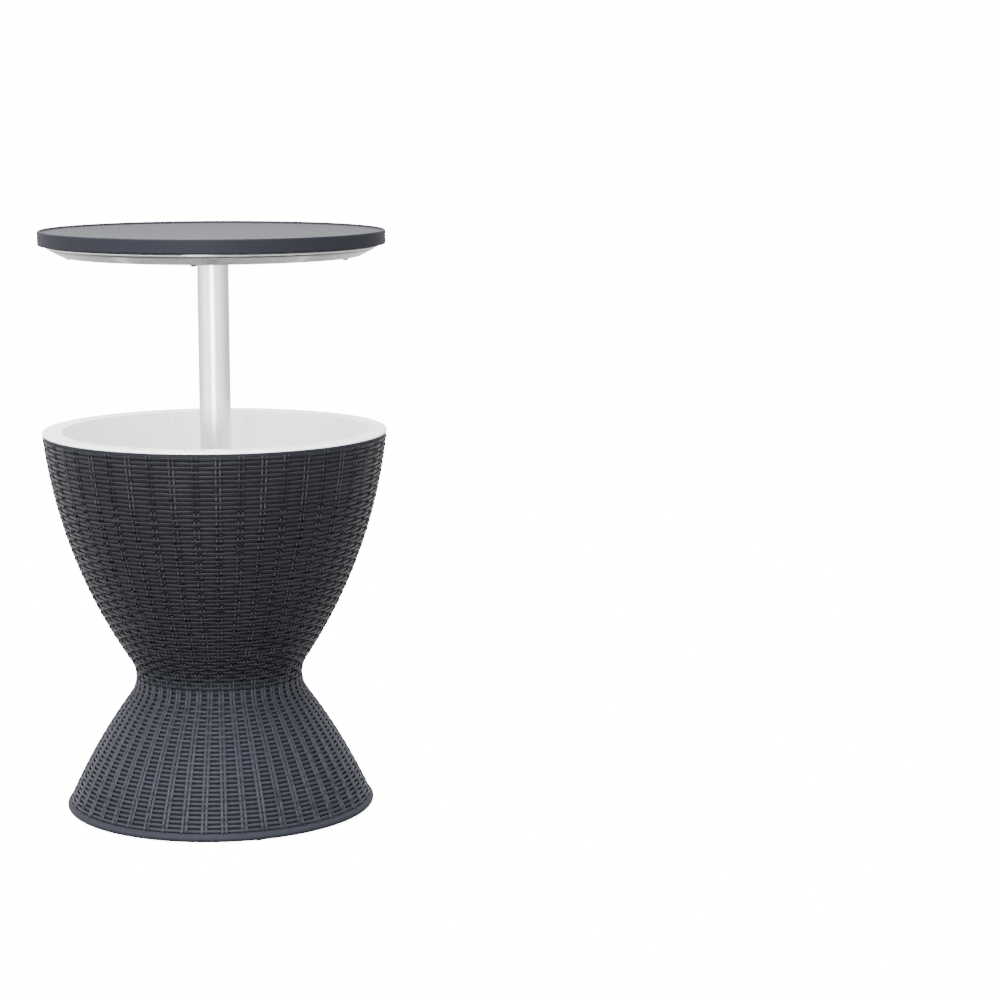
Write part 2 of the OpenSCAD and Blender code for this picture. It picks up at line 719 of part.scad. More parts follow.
// Plug in the pole's foot, with the off-centre cam and the disc that carries the split ring
module cam_plug() {
    plug_top_z = pole_foot_z + cam_plug_len;
    plug_r = pole_r - pole_wall - screw_gap;
    color([0.8, 0.35, 0.1]) difference() {
        union() {
            rod(plug_r, pole_foot_z - sink, plug_top_z);
            rod(pole_r - clear, bush_z, pole_foot_z);
            translate([-cam_offset, 0, 0]) rod(cam_r, cam_foot_z + sink, bush_z + sink);
            rod(bore_r - 5 * clear, cam_foot_z, cam_foot_z + cam_disc_t);
        }
        cross_rod(pin_r + screw_gap, pin_z, 3 * pole_r, true);
        rod(plug_r - cam_plug_wall, pole_foot_z + 2 * shoulder_h, plug_top_z + sink);
    }
}

// Pin through pole and plug
module cam_pin() {
    color([0.7, 0.7, 0.7]) cross_rod(pin_r, pin_z, 2 * (pole_r - edge), true);
}

// Cast hub: socket, flange and gussets
module pole_hub() {
    flange_z = hub_top_z - hub_t;
    rib_out = hub_r - hub_rib_t;
    color([0.6, 0.6, 0.62]) difference() {
        union() {
            rod(socket_r, pole_hub_low_z, pole_top_z + socket_cap_t);
            rod(hub_r, flange_z, hub_top_z);
            ring_of(hub_ribs, 0, 180 / hub_ribs) rotate([90, 0, 0])
                linear_extrude(hub_rib_t, center = true) polygon([
                    [socket_r - sink, pole_hub_low_z], [socket_r + hub_rib_t, pole_hub_low_z],
                    [rib_out, flange_z - sink], [rib_out, hub_top_z - sink],
                    [socket_r - sink, hub_top_z - sink]]);
        }
        rod(pole_r + screw_gap, pole_hub_low_z - sink, pole_top_z);
        ring_of(hub_screw_count, hub_screw_ring_r)
            rod(screw_r + pass_gap, pole_hub_low_z, hub_top_z + sink);
        cross_rod(bolt_r + screw_gap, bolt_z, 4 * pole_r);
    }
}

// Bolt through socket and pole, with its nut
module hub_bolt() {
    color([0.7, 0.7, 0.7]) {
        cross_rod(bolt_r, bolt_z, 2 * (socket_r + bolt_head_h + sink));
        for (side = [0, 180]) {
            translate([0, 0, bolt_z]) rotate([0, 90, side]) translate([0, 0, socket_r])
                cylinder(r = bolt_head_r, h = bolt_head_h, $fn = 6);
        }
    }
}

// Screws from the hub's flange into the table top's bosses
module hub_screws() {
    color([0.7, 0.7, 0.7]) ring_of(hub_screw_count, hub_screw_ring_r)
        screw(hub_head_r, hub_head_h, hub_top_z - hub_t, hub_top_z + hub_boss_h - 2 * short);
}

// Round top with a rounded edge, a raised lip, ribs and bosses underneath
module table_top() {
    lip_in = top_r - lip_w;
    low_in = top_r - top_wall;
    round_r = top_r - top_round_r;
    rib_z = plate_z - top_rib_h;
    hub_rib_r = hub_r + 2 * hub_wall;
    rib_end = pan_r - 2 * pan_wall;
    color([0.36, 0.37, 0.41]) difference() {
        union() {
            rotate_extrude() polygon(concat(
                [[0, plate_z], [low_in, plate_z], [low_in, skirt_z + edge], [low_in + edge, skirt_z]],
                [for (a = [-90 : 30 : 0]) on_circle([round_r, skirt_z + top_round_r], top_round_r, a)],
                [for (a = [0 : 30 : 90]) on_circle([round_r, top_z - top_round_r], top_round_r, a)],
                [[lip_in + edge, top_z], [lip_in, top_z - edge], [lip_in - edge, surface_z + edge],
                    [lip_in - 2 * edge, surface_z], [0, surface_z]]));
            ring_of(top_ribs, 0, pan_screw_angle + 180 / top_ribs)
                translate([hub_rib_r - sink, -rib_t / 2, rib_z])
                cube([rib_end - hub_rib_r + sink, rib_t, top_rib_h + sink]);
            tube(hub_rib_r, hub_rib_r - rib_t, rib_z, plate_z + sink);
            tube(ring_rib_r, ring_rib_r - rib_t, rib_z, plate_z + sink);
            ring_of(hub_screw_count, hub_screw_ring_r)
                rod(screw_r + boss_wall, hub_top_z, plate_z + sink);
            ring_of(pan_screw_count, pan_screw_ring_r, pan_screw_angle)
                rod(screw_r + boss_wall, pan_z + pan_wall, plate_z + sink);
        }
        ring_of(hub_screw_count, hub_screw_ring_r)
            rod(screw_r + screw_gap, hub_top_z - sink, hub_top_z + hub_boss_h - short);
        ring_of(pan_screw_count, pan_screw_ring_r, pan_screw_angle)
            rod(screw_r + screw_gap, pan_z, pan_z + pan_wall + pan_screw_reach + short);
    }
}

// Dished pan: floor, slanted side over the bucket's mouth, and an edge band
module lid_pan() {
    band_z = skirt_z - pan_band_h;
    tuck_z = skirt_z + pan_tuck;
    in = pole_r + pass_gap;
    floor_z = pan_z + pan_wall;
    corner = [pan_floor_r - pan_corner_r, pan_z + pan_corner_r];
    color([0.78, 0.79, 0.79]) difference() {
        rotate_extrude() polygon(concat(
            [[in, pan_z]],
            [for (a = [-90 : 30 : 0]) on_circle(corner, pan_corner_r, a)],
            [[pan_r - pan_step, band_z], [pan_r, band_z + edge], [pan_r, tuck_z]],
            [[pan_r - pan_wall, tuck_z], [pan_r - pan_wall, band_z + pan_wall]],
            [[corner[0], floor_z + edge], [corner[0] - 2 * edge, floor_z], [in, floor_z]]));
        ring_of(pan_screw_count, pan_screw_ring_r, pan_screw_angle)
            rod(screw_r + pass_gap, pan_z - sink, floor_z + sink);
    }
}

// Screws through the pan's floor into the table top's bosses
module pan_screws() {
    color([0.15, 0.15, 0.15]) ring_of(pan_screw_count, pan_screw_ring_r, pan_screw_angle)
        screw(pan_head_r, pan_head_h, pan_z, pan_z + pan_wall + pan_screw_reach);
}

base_pedestal();
foot_pads();
bowl_shell();
waist_screws();
ice_liner();
guide_column();
guide_bush();
column_collar();
column_seal();
column_nut();
column_plug();
drain_spout();
drain_seal();
drain_nut();
lock_ring();
pole();
cam_plug();
cam_pin();
pole_hub();
hub_bolt();
hub_screws();
table_top();
lid_pan();
pan_screws();
drain_gasket();
drain_cap();
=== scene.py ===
# Cooler side table: the woven hourglass body, its bucket, the lifting top and the stage round them.
# Metres, +Z up, the front on -Y. Heights that the solids share are read from the frame.

from math import asin, atan2, cos, degrees, hypot, pi, radians, sin, sqrt

import bmesh
import bpy
from bpy.props import FloatProperty, FloatVectorProperty, IntProperty, PointerProperty
from bpy.types import Operator, Panel, PropertyGroup
from mathutils import Matrix, Vector, noise


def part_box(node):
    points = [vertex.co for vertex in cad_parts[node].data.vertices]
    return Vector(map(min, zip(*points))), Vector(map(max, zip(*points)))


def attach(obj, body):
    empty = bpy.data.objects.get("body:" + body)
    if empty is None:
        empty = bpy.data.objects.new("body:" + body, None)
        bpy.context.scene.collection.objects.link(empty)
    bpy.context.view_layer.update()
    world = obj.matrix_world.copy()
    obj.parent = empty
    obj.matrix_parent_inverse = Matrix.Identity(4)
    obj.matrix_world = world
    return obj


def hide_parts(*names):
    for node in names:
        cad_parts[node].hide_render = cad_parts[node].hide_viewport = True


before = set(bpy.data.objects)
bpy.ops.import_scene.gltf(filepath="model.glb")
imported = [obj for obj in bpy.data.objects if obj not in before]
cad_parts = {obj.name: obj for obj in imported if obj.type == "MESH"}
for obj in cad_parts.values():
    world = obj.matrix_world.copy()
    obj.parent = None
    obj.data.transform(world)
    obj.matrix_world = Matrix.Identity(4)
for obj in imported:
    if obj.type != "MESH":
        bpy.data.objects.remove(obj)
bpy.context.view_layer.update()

bl_info = {
    "name": "Cooler side table",
    "version": (1, 0, 0),
    "blender": (4, 5, 0),
    "location": "View3D > Sidebar > Side table",
    "description": "Woven hourglass side table whose top lifts off an ice bucket",
    "category": "Object",
}

FULL_TURN = 2 * pi
FRONT = -pi / 2


# Settings that a user would change

def name_settings(group):
    """Names each setting of the group after its key."""
    for key, setting in group.__annotations__.items():
        setting.keywords["name"] = key.replace("_", " ").capitalize()


def length(description, default):
    return FloatProperty(description=description, default=default, min=0.0,
                         unit="LENGTH", subtype="DISTANCE", precision=5)


def turn(description, degrees):
    return FloatProperty(description=description, default=radians(degrees),
                         unit="ROTATION", subtype="ANGLE")


def share(description, default):
    return FloatProperty(description=description, default=default, min=0.0, max=1.0)


def amount(description, default):
    return FloatProperty(description=description, default=default, min=0.0)


def count(description, default):
    return IntProperty(description=description, default=default, min=2)


def colour(description, default):
    return FloatVectorProperty(description=description, default=default, size=3,
                               min=0.0, max=1.0, subtype="COLOR")


class OutlineSizes(PropertyGroup):
    rim_radius: length("Radius of the bowl at its top edge", 0.248)
    rim_height: length("Height of the bowl's top edge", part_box("bowl_shell")[1].z)
    knee_radius: length("Radius at which the two curves cross", 0.1102)
    knee_height: length("Height at which the two curves cross", 0.1933)
    bowl_curve: length("Radius of the bowl's bulging curve", 0.747)
    base_curve: length("Radius of the base's flaring curve", 0.846)
    waist_curve: length("Radius of the hollow curve at the waist", 0.047)
    foot_radius: length("Radius of the weave's foot", 0.2198)
    band_height: length("Height of the top of the foot band", 0.014)
    band_radius: length("Widest radius of the foot band", 0.2244)
    foot_low: length("Height of the lower edge of the foot band", 0.0016)
    foot_round: length("Radius of that edge", 0.005)
    foot_ring: length("Width of the flat ring under the band", 0.0206)
    wall: length("Thickness of the body's walls", 0.004)
    hole: length("Radius of the hole for the guide column", 0.0293)


class WeaveSizes(PropertyGroup):
    rim_band: length("Height of the plain band under the rim", 0.0045)
    row_depth: length("Thickness of a row's strand", 0.0030)
    row_pinch: share("Share of its height that a row loses at the stakes", 0.22)
    row_stray: length("How far a row wanders up and down", 0.0004)
    stake_depth: length("Thickness of a stake", 0.0021)
    gap_share: share("Share of its gap that a pair keeps at the axis", 0.62)


# Sizes of the strands: kind of setting, what it is, and its default in the base and in the bowl
STRANDS = {
    "rows": (count, "Rows woven round the body", 32, 60),
    "pairs": (count, "Pairs of upright stakes", 48, 48),
    "first_turn": (turn, "Angle of the first pair from the front", -0.5, -0.8),
    "row_height": (share, "Share of a row's pitch that its strand fills", 0.58, 0.80),
    "row_lift": (length, "How far a row rises and dips", 0.00056, 0.0008),
    "row_flat": (length, "Half of its level run at the stakes", 0.0045, 0.0042),
    "stake_width": (length, "Width of a stake", 0.0041, 0.0022),
    "stake_lift": (length, "How far a stake rises and dips", 0.00036, 0.0008),
    "stake_sink": (length, "How deep a stake lies in the weave", 0.0001, 0.0005),
    "stake_gap": (length, "Between the middles of a pair", 0.0056, 0.0058),
    "gap_growth": (length, "Radius over which the gap grows by itself", 0.58, 0.64),
    "shell_sink": (length, "How deep the shell lies behind the weave", 0.0034, 0.0030),
}
BaseWeave, BowlWeave = (
    type(group, (PropertyGroup,), {"__annotations__": {
        key: kind(description, defaults[part])
        for key, (kind, description, *defaults) in STRANDS.items()}})
    for part, group in enumerate(("BaseWeave", "BowlWeave")))


class TopSizes(PropertyGroup):
    radius: length("Radius of the table top", 0.2475)
    low: length("Height of the lower edge of the skirt", 0.8225)
    high: length("Height of the top of the lip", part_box("table_top")[1].z)
    wall: length("Thickness of the plate and the skirt", 0.004)
    edge_round: length("Radius of the skirt's edges", 0.002)
    lip_width: length("Width of the lip round the surface", 0.0045)
    lip_height: length("Height of the lip over the surface", 0.0032)
    pan_radius: length("Radius of the pan's edge", 0.2350)
    pan_flat: length("Radius where the pan's side starts to curve up", 0.2107)
    pan_foot: length("Radius of the curve up from the flat", 0.0060)
    pan_side: length("Length of the side's straight slope", 0.0180)
    pan_lean: turn("How far the face of the slope looks down", 63)
    pan_curve: length("Radius of the curve from the slope to the bead", 0.0090)
    pan_bead: length("Radius of the bead on its edge", 0.0016)
    bead_drop: length("From the skirt's foot down to the bead's middle", 0.0023)
    pan_low: length("Height of the underside of the pan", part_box("lid_pan")[0].z)
    pan_wall: length("Thickness of the pan", 0.0025)


class BucketSizes(PropertyGroup):
    mouth: length("Radius of the bucket's mouth", 0.2195)
    rim: length("Radius of the bucket's rim", 0.2474)
    rim_high: length("Height of the bucket's rim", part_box("ice_liner")[1].z)
    floor: length("Height of the bucket's floor", 0.2400)
    inset: length("From the bowl's face to the inside of the bucket", 0.0260)
    wall: length("Thickness of the bucket", 0.0030)
    corner: length("Radius of the corner at the floor", 0.0220)
    mouth_drop: length("Height of the straight part at the mouth", 0.0220)
    drain: length("Height of the drain on the bowl's back", 0.2390)
    seat: length("Radius of the drain's seat", 0.0170)
    bore: length("Radius of the drain's hole", 0.0084)
    hole: length("Radius of the hole for the guide column", 0.0294)


class LiftSizes(PropertyGroup):
    pole: length("Outer radius of the pole", 0.0225)
    pole_wall: length("Wall of the pole", 0.0015)
    column: length("Outer radius of the guide column", 0.0290)
    column_wall: length("Wall of the guide column", 0.0030)
    column_top: length("Height of the top of the guide column", 0.4700)
    flange: length("Radius of the column's flange", 0.0420)
    grips: count("Grip ribs round the collar", 24)


class FinishColours(PropertyGroup):
    weave: colour("Slate plastic of the woven base", (0.0203, 0.0213, 0.0280))
    # Painted shade: the bowl is the same slate as the base, painted darker for the shade on its
    # downward-facing wall.
    bowl_weave_painted_shade: colour("Darker slate plastic of the bowl", (0.0157, 0.0161, 0.0188))
    # Painted shade: a darker copy of the slate on the shell behind the strands, darkening the gaps
    # between them where shade falls.
    painted_shade_back: colour("Plastic deep between the strands", (0.0093, 0.0096, 0.0126))
    table: colour("Slate plastic of the table top", (0.0130, 0.0136, 0.0184))
    bucket: colour("White plastic of the bucket", (0.94, 0.94, 0.935))
    pan: colour("Silver-grey of the pan under the top", (0.145, 0.145, 0.145))
    pole: colour("Drawn aluminium of the pole", (0.76, 0.76, 0.76))
    dark: colour("Dark plastic and rubber of the drain, seals and pads", (0.016, 0.016, 0.018))
    # Painted highlight: the bead is the pan's own silver, painted far paler to give the bright line
    # of light along the edge.
    bead: colour("Bright rolled edge of the pan", (0.62, 0.62, 0.62))


# Each lamp's place, its size in metres and its power in watts
LAMPS = {
    "overhead": ((-0.3, -0.9, 2.9), (1.6, 1.2), 150),
    "front_wall": ((-0.3, -4.6, 0.9), (1.6, 2.4), 155),
    "back": ((0.0, 1.7, 3.0), (2.2, 1.0), 250),
}
LAMP_AIM = Vector((0, 0, 0.45))


class StageSizes(PropertyGroup):
    camera_place: FloatVectorProperty(description="Where the camera stands", size=3,
                                      default=(0.4115, -3.7844, 1.046), unit="LENGTH",
                                      subtype="TRANSLATION")
    camera_pitch: turn("How far the camera looks down", 8.93)
    lens: amount("Focal length in millimetres on a 36 mm wide frame", 94.94)
    floor_radius: length("Radius of the pale floor", 14.0)
    room_light: amount("Brightness of the room round the object", 4.8)
    left_light: share("How much brighter the room is on the left", 0.25)
    back_light: share("Share of the room light that comes from behind", 0.30)
    floor_near: share("Share of it that the floor in front gives back", 0.04)
    floor_far: share("Share of it that the floor behind gives back", 0.35)
    backdrop: amount("Brightness of the backdrop as the camera sees it", 16.0)
    floor_glow: share("The floor's share of the backdrop's brightness", 0.8)


# The body's outline

def centre_left(a, b, radius):
    chord = b - a
    rise = sqrt(radius ** 2 - chord.length_squared / 4)
    return (a + b) / 2 + rise * Vector((-chord.y, chord.x)).normalized()


def meeting(a, a_radius, b, b_radius):
    way = b - a
    near = (a_radius ** 2 - b_radius ** 2 + way.length_squared) / (2 * way.length)
    side = sqrt(a_radius ** 2 - near ** 2)
    way = way.normalized()
    return a + near * way + side * Vector((way.y, -way.x))


def bearing(middle, point):
    return atan2(point.y - middle.y, point.x - middle.x)


def on_arc(middle, radius, angle):
    out = Vector((cos(angle), sin(angle)))
    return middle + radius * out, out


def radius_on(middle, radius, height):
    return middle.x + sqrt(radius ** 2 - (middle.y - height) ** 2)


class Hourglass:
    """Outline of the body in radius and height: base, waist and bowl arcs that meet smoothly."""

    def __init__(self, size):
        foot = Vector((size.foot_radius, size.band_height))
        knee = Vector((size.knee_radius, size.knee_height))
        rim = Vector((size.rim_radius, size.rim_height))
        self.size = size
        self.base_middle = centre_left(foot, knee, size.base_curve)
        self.bowl_middle = centre_left(knee, rim, size.bowl_curve)
        self.waist_middle = meeting(self.base_middle, size.base_curve + size.waist_curve,
                                    self.bowl_middle, size.bowl_curve + size.waist_curve)
        self.foot_angle = bearing(self.base_middle, foot)
        self.base_angle = bearing(self.base_middle, self.waist_middle)
        self.bowl_angle = bearing(self.bowl_middle, self.waist_middle)
        rim_angle = bearing(self.bowl_middle, rim)
        self.base_arc = (self.base_angle - self.foot_angle) * size.base_curve
        self.base_length = self.base_arc + self.base_angle * size.waist_curve
        self.waist_arc = -self.bowl_angle * size.waist_curve
        self.bowl_length = self.waist_arc + (rim_angle - self.bowl_angle) * size.bowl_curve

    def base(self, along, out=0.0):
        """Point that far up the base and out from its face, and the way out there."""
        size = self.size
        if along < self.base_arc:
            return on_arc(self.base_middle, size.base_curve + out,
                          self.foot_angle + along / size.base_curve)
        return on_arc(self.waist_middle, out - size.waist_curve,
                      self.base_angle - (along - self.base_arc) / size.waist_curve)

    def bowl(self, along, out=0.0):
        """Point that far up the bowl and out from its face, and the way out there."""
        size = self.size
        if along > self.waist_arc:
            return on_arc(self.bowl_middle, size.bowl_curve + out,
                          self.bowl_angle + (along - self.waist_arc) / size.bowl_curve)
        return on_arc(self.waist_middle, out - size.waist_curve, -along / size.waist_curve)

    def base_radius(self, height, out=0.0):
        """Radius of the base at that height and that far out from its face."""
        return radius_on(self.base_middle, self.size.base_curve + out, height)

    def bowl_radius(self, height, out=0.0):
        """Radius of the bowl at that height and that far out from its face."""
        return radius_on(self.bowl_middle, self.size.bowl_curve + out, height)

    def at_back(self, height):
        """Frame on the back of the bowl at that height, with Z square out of the wall."""
        radius = self.bowl_radius(height)
        out = Vector((radius, height)) - self.bowl_middle
        turned_out = Vector((0, out.x, out.y)).to_track_quat("Z", "X").to_matrix().to_4x4()
        return Matrix.Translation((0, radius, height)) @ turned_out


# Shader maths

def maths(operation, swapped=False):
    """Python operator that adds the Math node of that name."""
    def work(signal, other):
        terms = (other, signal) if swapped else (signal, other)
        return signal.owner.node("ShaderNodeMath", {"operation": operation},
                                 dict(enumerate(terms)))
    return work


class Signal:
    """A shader socket in a sum: each Python operator adds the Math node that works it out."""

    __add__, __radd__ = maths("ADD"), maths("ADD", True)
    __sub__, __rsub__ = maths("SUBTRACT"), maths("SUBTRACT", True)
    __mul__, __rmul__ = maths("MULTIPLY"), maths("MULTIPLY", True)
    __truediv__, __pow__ = maths("DIVIDE"), maths("POWER")

    def __init__(self, owner, socket):
        self.owner = owner
        self.socket = socket


class Nodes:
    """The nodes of a material or of the world, emptied and built up again."""

    def __init__(self, owner):
        owner.use_nodes = True
        self.tree = owner.node_tree
        self.tree.nodes.clear()

    def feed(self, node, sockets):
        for key, value in sockets.items():
            if isinstance(value, Signal):
                self.tree.links.new(value.socket, node.inputs[key])
            else:
                node.inputs[key].default_value = value

    def node(self, kind, settings=None, sockets=None, out=0):
        """Adds a node, sets it, feeds its sockets with numbers or signals, returns an output."""
        node = self.tree.nodes.new(kind)
        for key, value in (settings or {}).items():
            setattr(node, key, value)
        self.feed(node, sockets or {})
        return None if out is None else Signal(self, node.outputs[out])

    def axes(self, place):
        return [self.node("ShaderNodeSeparateXYZ", None, {0: place}, axis) for axis in "XYZ"]

    def spread(self, signal, low, high, to_low=0.0, to_high=1.0):
        """The signal's stretch from low to high, laid on another stretch and held at its ends."""
        return self.node("ShaderNodeMapRange", None,
                         {0: signal, 1: low, 2: high, 3: to_low, 4: to_high})


class Finish(Nodes):
    """A material in the making, with its Principled shader on the output."""

    def __init__(self, name, base, roughness, metallic=0.0, **fixed):
        self.material = bpy.data.materials.new(name)
        super().__init__(self.material)
        self.material.diffuse_color = (*base, 1)
        self.shader = self.tree.nodes.new("ShaderNodeBsdfPrincipled")
        self.wear(base_color=(*base, 1), roughness=roughness, metallic=metallic, **fixed)
        self.node("ShaderNodeOutputMaterial", None, {0: Signal(self, self.shader.outputs[0])}, None)
        self.base = base
        self.place = self.node("ShaderNodeTexCoord", out="Object")

    def wear(self, **sockets):
        """Feeds the shader's sockets, called by their names in small letters."""
        self.feed(self.shader, {name.replace("_", " ").title().replace("Ior", "IOR"): value
                                for name, value in sockets.items()})

    def point(self, x, y, z):
        return self.node("ShaderNodeCombineXYZ", None, {0: x, 1: y, 2: z})

    def scaled(self, side, up, outwards=False):
        """The place, scaled sideways and up; outwards, only the way from the axis counts."""
        x, y, z = self.axes(self.place)
        if outwards:
            radius = (x * x + y * y) ** 0.5
            x, y = x / radius, y / radius
        return self.point(x * side, y * side, z * up)

    def noise(self, scale, detail, place=None):
        return self.node("ShaderNodeTexNoise", None,
                         {"Vector": place or self.place, "Scale": scale, "Detail": detail})

    def tone(self, factor, dark, light, base=None):
        """The base colour between a darker and a lighter version of itself."""
        ends = [tuple(min(1.0, part * times) for part in base or self.base) + (1,)
                for times in (dark, light)]
        return self.mix(factor, *ends)

    def mix(self, factor, first, second):
        """One colour fading into another."""
        return self.node("ShaderNodeMix", {"data_type": "RGBA"},
                         {0: factor, 6: first, 7: second}, 2)

    def done(self, colour, roughness, relief, depth, strength):
        """Gives the shader its colour, roughness and relief, and returns the material."""
        bump = self.node("ShaderNodeBump", None,
                         {"Strength": strength, "Distance": depth, "Height": relief})
        self.wear(base_color=colour, roughness=roughness, normal=bump)
        return self.material


def strand_finish(name, base, bowl, upright):
    """Drawn plastic strand, streaky and paler in stretches; above the waist it fades into the
    bowl's darker tint, which is painted shade.
    """
    finish = Finish(name, base, 0.5, specular_ior_level=0.08)
    streak_scale, strand_scale = ((210, 16), (24, 9)) if upright else ((14, 1300), (22, 154))
    streaks = finish.noise(1.0, 2, finish.scaled(*streak_scale, upright))
    streaks = finish.spread(streaks, 0.3, 0.7)
    strands = finish.noise(1.0, 1, finish.scaled(*strand_scale, upright))
    strands = finish.spread(strands, 0.25, 0.75)
    patches = finish.noise(34, 2)
    shade = streaks * 0.3 + strands * 0.4 + patches * 0.3
    # Painted shade: from the waist up the strands fade into the bowl's darker tint.
    painted_shade_above_waist = finish.spread(finish.axes(finish.place)[2], 0.15, 0.25)
    tone = finish.mix(painted_shade_above_waist, finish.tone(shade, 0.68, 1.32),
                      finish.tone(shade, 0.55, 1.45, bowl))
    return finish.done(tone, 0.25 + 0.12 * streaks + 0.10 * patches, streaks, 0.00008, 0.6)


def grained_finish(name, base, roughness, gloss=0.04):
    """Moulded plastic with a fine matt grain and faint cloudy patches."""
    finish = Finish(name, base, roughness, specular_ior_level=gloss)
    pits = finish.spread(finish.noise(1500, 2), 0.35, 0.65)
    clouds = finish.noise(9, 3)
    return finish.done(finish.tone(pits * 0.35 + clouds * 0.65, 0.9, 1.1),
                       roughness + 0.08 * pits + 0.07 * clouds - 0.07, pits, 0.00005, 0.7)


def smooth_finish(name, base, roughness):
    """Smooth moulded plastic: nearly glossy, with the slight waviness of a cooled moulding."""
    finish = Finish(name, base, roughness, specular_ior_level=0.5)
    waves = finish.noise(7, 2)
    specks = finish.noise(420, 2)
    return finish.done(finish.tone(waves * 0.7 + specks * 0.3, 0.96, 1.03),
                       roughness + 0.10 * specks - 0.05, waves * 0.8 + specks * 0.02, 0.0006, 0.5)


def bucket_finish(name, base, roughness):
    """Smooth white plastic with faint upright bands of slightly darker and paler tone, roughness
    and relief.
    """
    finish = Finish(name, base, roughness, specular_ior_level=0.8)
    bands = finish.noise(1.0, 2, finish.scaled(7, 1.6, True))
    specks = finish.noise(420, 2)
    return finish.done(finish.tone(finish.spread(bands, 0.3, 0.7), 0.93, 1.02),
                       roughness + 0.14 * bands - 0.07, bands * 0.8 + specks * 0.02, 0.0006, 0.5)


def drawn_finish(name, base, roughness):
    """Satin aluminium tube with fine lines drawn along its length."""
    finish = Finish(name, base, roughness, 1.0)
    lines = finish.noise(1.0, 3, finish.scaled(60, 2.2, True))
    clouds = finish.noise(14, 2)
    return finish.done(finish.tone(lines * 0.6 + clouds * 0.4, 0.93, 1.06),
                       roughness + 0.12 * lines - 0.06, lines, 0.00003, 0.5)


def silver_finish(name, base, roughness):
    """Silver-grey pan: a soft metal sheen with the faint rings that its turning left."""
    finish = Finish(name, base, roughness, 0.85)
    x, y, z = finish.axes(finish.place)
    radius = (x * x + y * y) ** 0.5
    rings = finish.noise(1.0, 3, finish.point(radius * 900, z * 900, x * 3))
    clouds = finish.noise(11, 2)
    return finish.done(finish.tone(rings * 0.5 + clouds * 0.5, 0.9, 1.1),
                       roughness + 0.10 * rings + 0.06 * clouds - 0.08, rings, 0.00003, 0.5)


def metal_finish(name, base, roughness, grain, depth):
    """Plated or cast metal with a grain of its own size."""
    finish = Finish(name, base, roughness, 1.0)
    pits = finish.noise(grain, 3)
    return finish.done(finish.tone(pits, 0.85, 1.12),
                       roughness + 0.18 * pits - 0.09, pits, depth, 0.6)


MADE = {}


def material(name, make, *about):
    """The material of that name, made the first time it is asked for."""
    if name not in MADE:
        MADE[name] = make(name, *about)
    return MADE[name]


# Modelling helpers

def strand_frame(point, out, sideways, half_width, half_depth):
    """Puts a flat outline across a stake: X sideways, Y outwards, Z up along the wall."""
    return Matrix(((0, out.x * half_depth, -out.y, point.x),
                   (half_width, 0, 0, sideways),
                   (0, out.y * half_depth, out.x, point.y),
                   (0, 0, 0, 1)))


def ease(value):
    value = min(1.0, max(0.0, value))
    return value * value * (3 - 2 * value)


def tidy(bm):
    bmesh.ops.remove_doubles(bm, verts=bm.verts, dist=1e-6)
    bmesh.ops.recalc_face_normals(bm, faces=bm.faces)


def placed(name, data):
    """A new object in the scene."""
    made = bpy.data.objects.new(name, data)
    bpy.context.scene.collection.objects.link(made)
    return made


def object_of(name, bm):
    """A new object in the scene whose mesh is the bmesh, which is used up."""
    mesh = bpy.data.meshes.new(name)
    bm.to_mesh(mesh)
    bm.free()
    return placed(name, mesh)


def finish_piece(name, bm, body, node, slot, *materials, crease=180):
    """Makes the bmesh a piece that rides on a body, stands for a node and wears materials."""
    piece = object_of(name, bm)
    piece.data.shade_smooth()
    if crease < 180:
        piece.data.set_sharp_from_angle(angle=radians(crease))
    for each in materials:
        piece.data.materials.append(each)
    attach(piece, body)
    if node:
        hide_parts(node)


def bend(middle, radius, start, end, steps=4):
    """Points of a rounded edge in the outline's plane, its angles from outwards towards up."""
    return [on_arc(Vector(middle), radius, radians(start + (end - start) * i / steps))[0]
            for i in range(steps + 1)]


LONG, NEAR = 0.0030, 0.0004


def held(outline, closed=True):
    """The outline with points near the ends of its long stretches, which keep these flat."""
    points = []
    for start, end in zip(outline, outline[1:] + [outline[0]] * closed):
        start, end = Vector(start), Vector(end)
        points.append(start)
        if (end - start).length > LONG:
            step = NEAR * (end - start).normalized()
            points += [start + step, end - step]
    return points if closed else points + [outline[-1]]


def swept(bm, geom, steps):
    """Sweeps vertices and edges once round the axis."""
    bmesh.ops.spin(bm, geom=geom, cent=(0, 0, 0), axis=(0, 0, 1), angle=FULL_TURN, steps=steps,
                   use_merge=True)


def repeated(bm, verts, copies):
    """Repeats all that hangs on these vertices, evenly round the axis."""
    geom = dict.fromkeys(verts)
    for vert in verts:
        geom.update(dict.fromkeys((*vert.link_edges, *vert.link_faces)))
    bmesh.ops.spin(bm, geom=list(geom), cent=(0, 0, 0), axis=(0, 0, 1), steps=copies - 1,
                   angle=FULL_TURN * (copies - 1) / copies, use_duplicate=True)


def turned(outline, steps, closed=True):
    """Spins an outline of (radius, height) points round the axis."""
    bm = bmesh.new()
    verts = [bm.verts.new((radius, 0, height)) for radius, height in outline]
    pairs = list(zip(verts, verts[1:])) + [(verts[-1], verts[0])] * closed
    swept(bm, verts + [bm.edges.new(pair) for pair in pairs], steps)
    tidy(bm)
    return bm


def bar(bm, radius, low, high, place=Matrix(), sides=64):
    """Adds a round bar along Z from low to high, and returns its vertices."""
    middle = place @ Matrix.Translation((0, 0, (low + high) / 2))
    return bmesh.ops.create_cone(bm, cap_ends=True, segments=sides, radius1=radius,
                                 radius2=radius, depth=high - low, matrix=middle)["verts"]


def rod(*about):
    """A round bar in a bmesh of its own."""
    bm = bmesh.new()
    bar(bm, *about)
    return bm


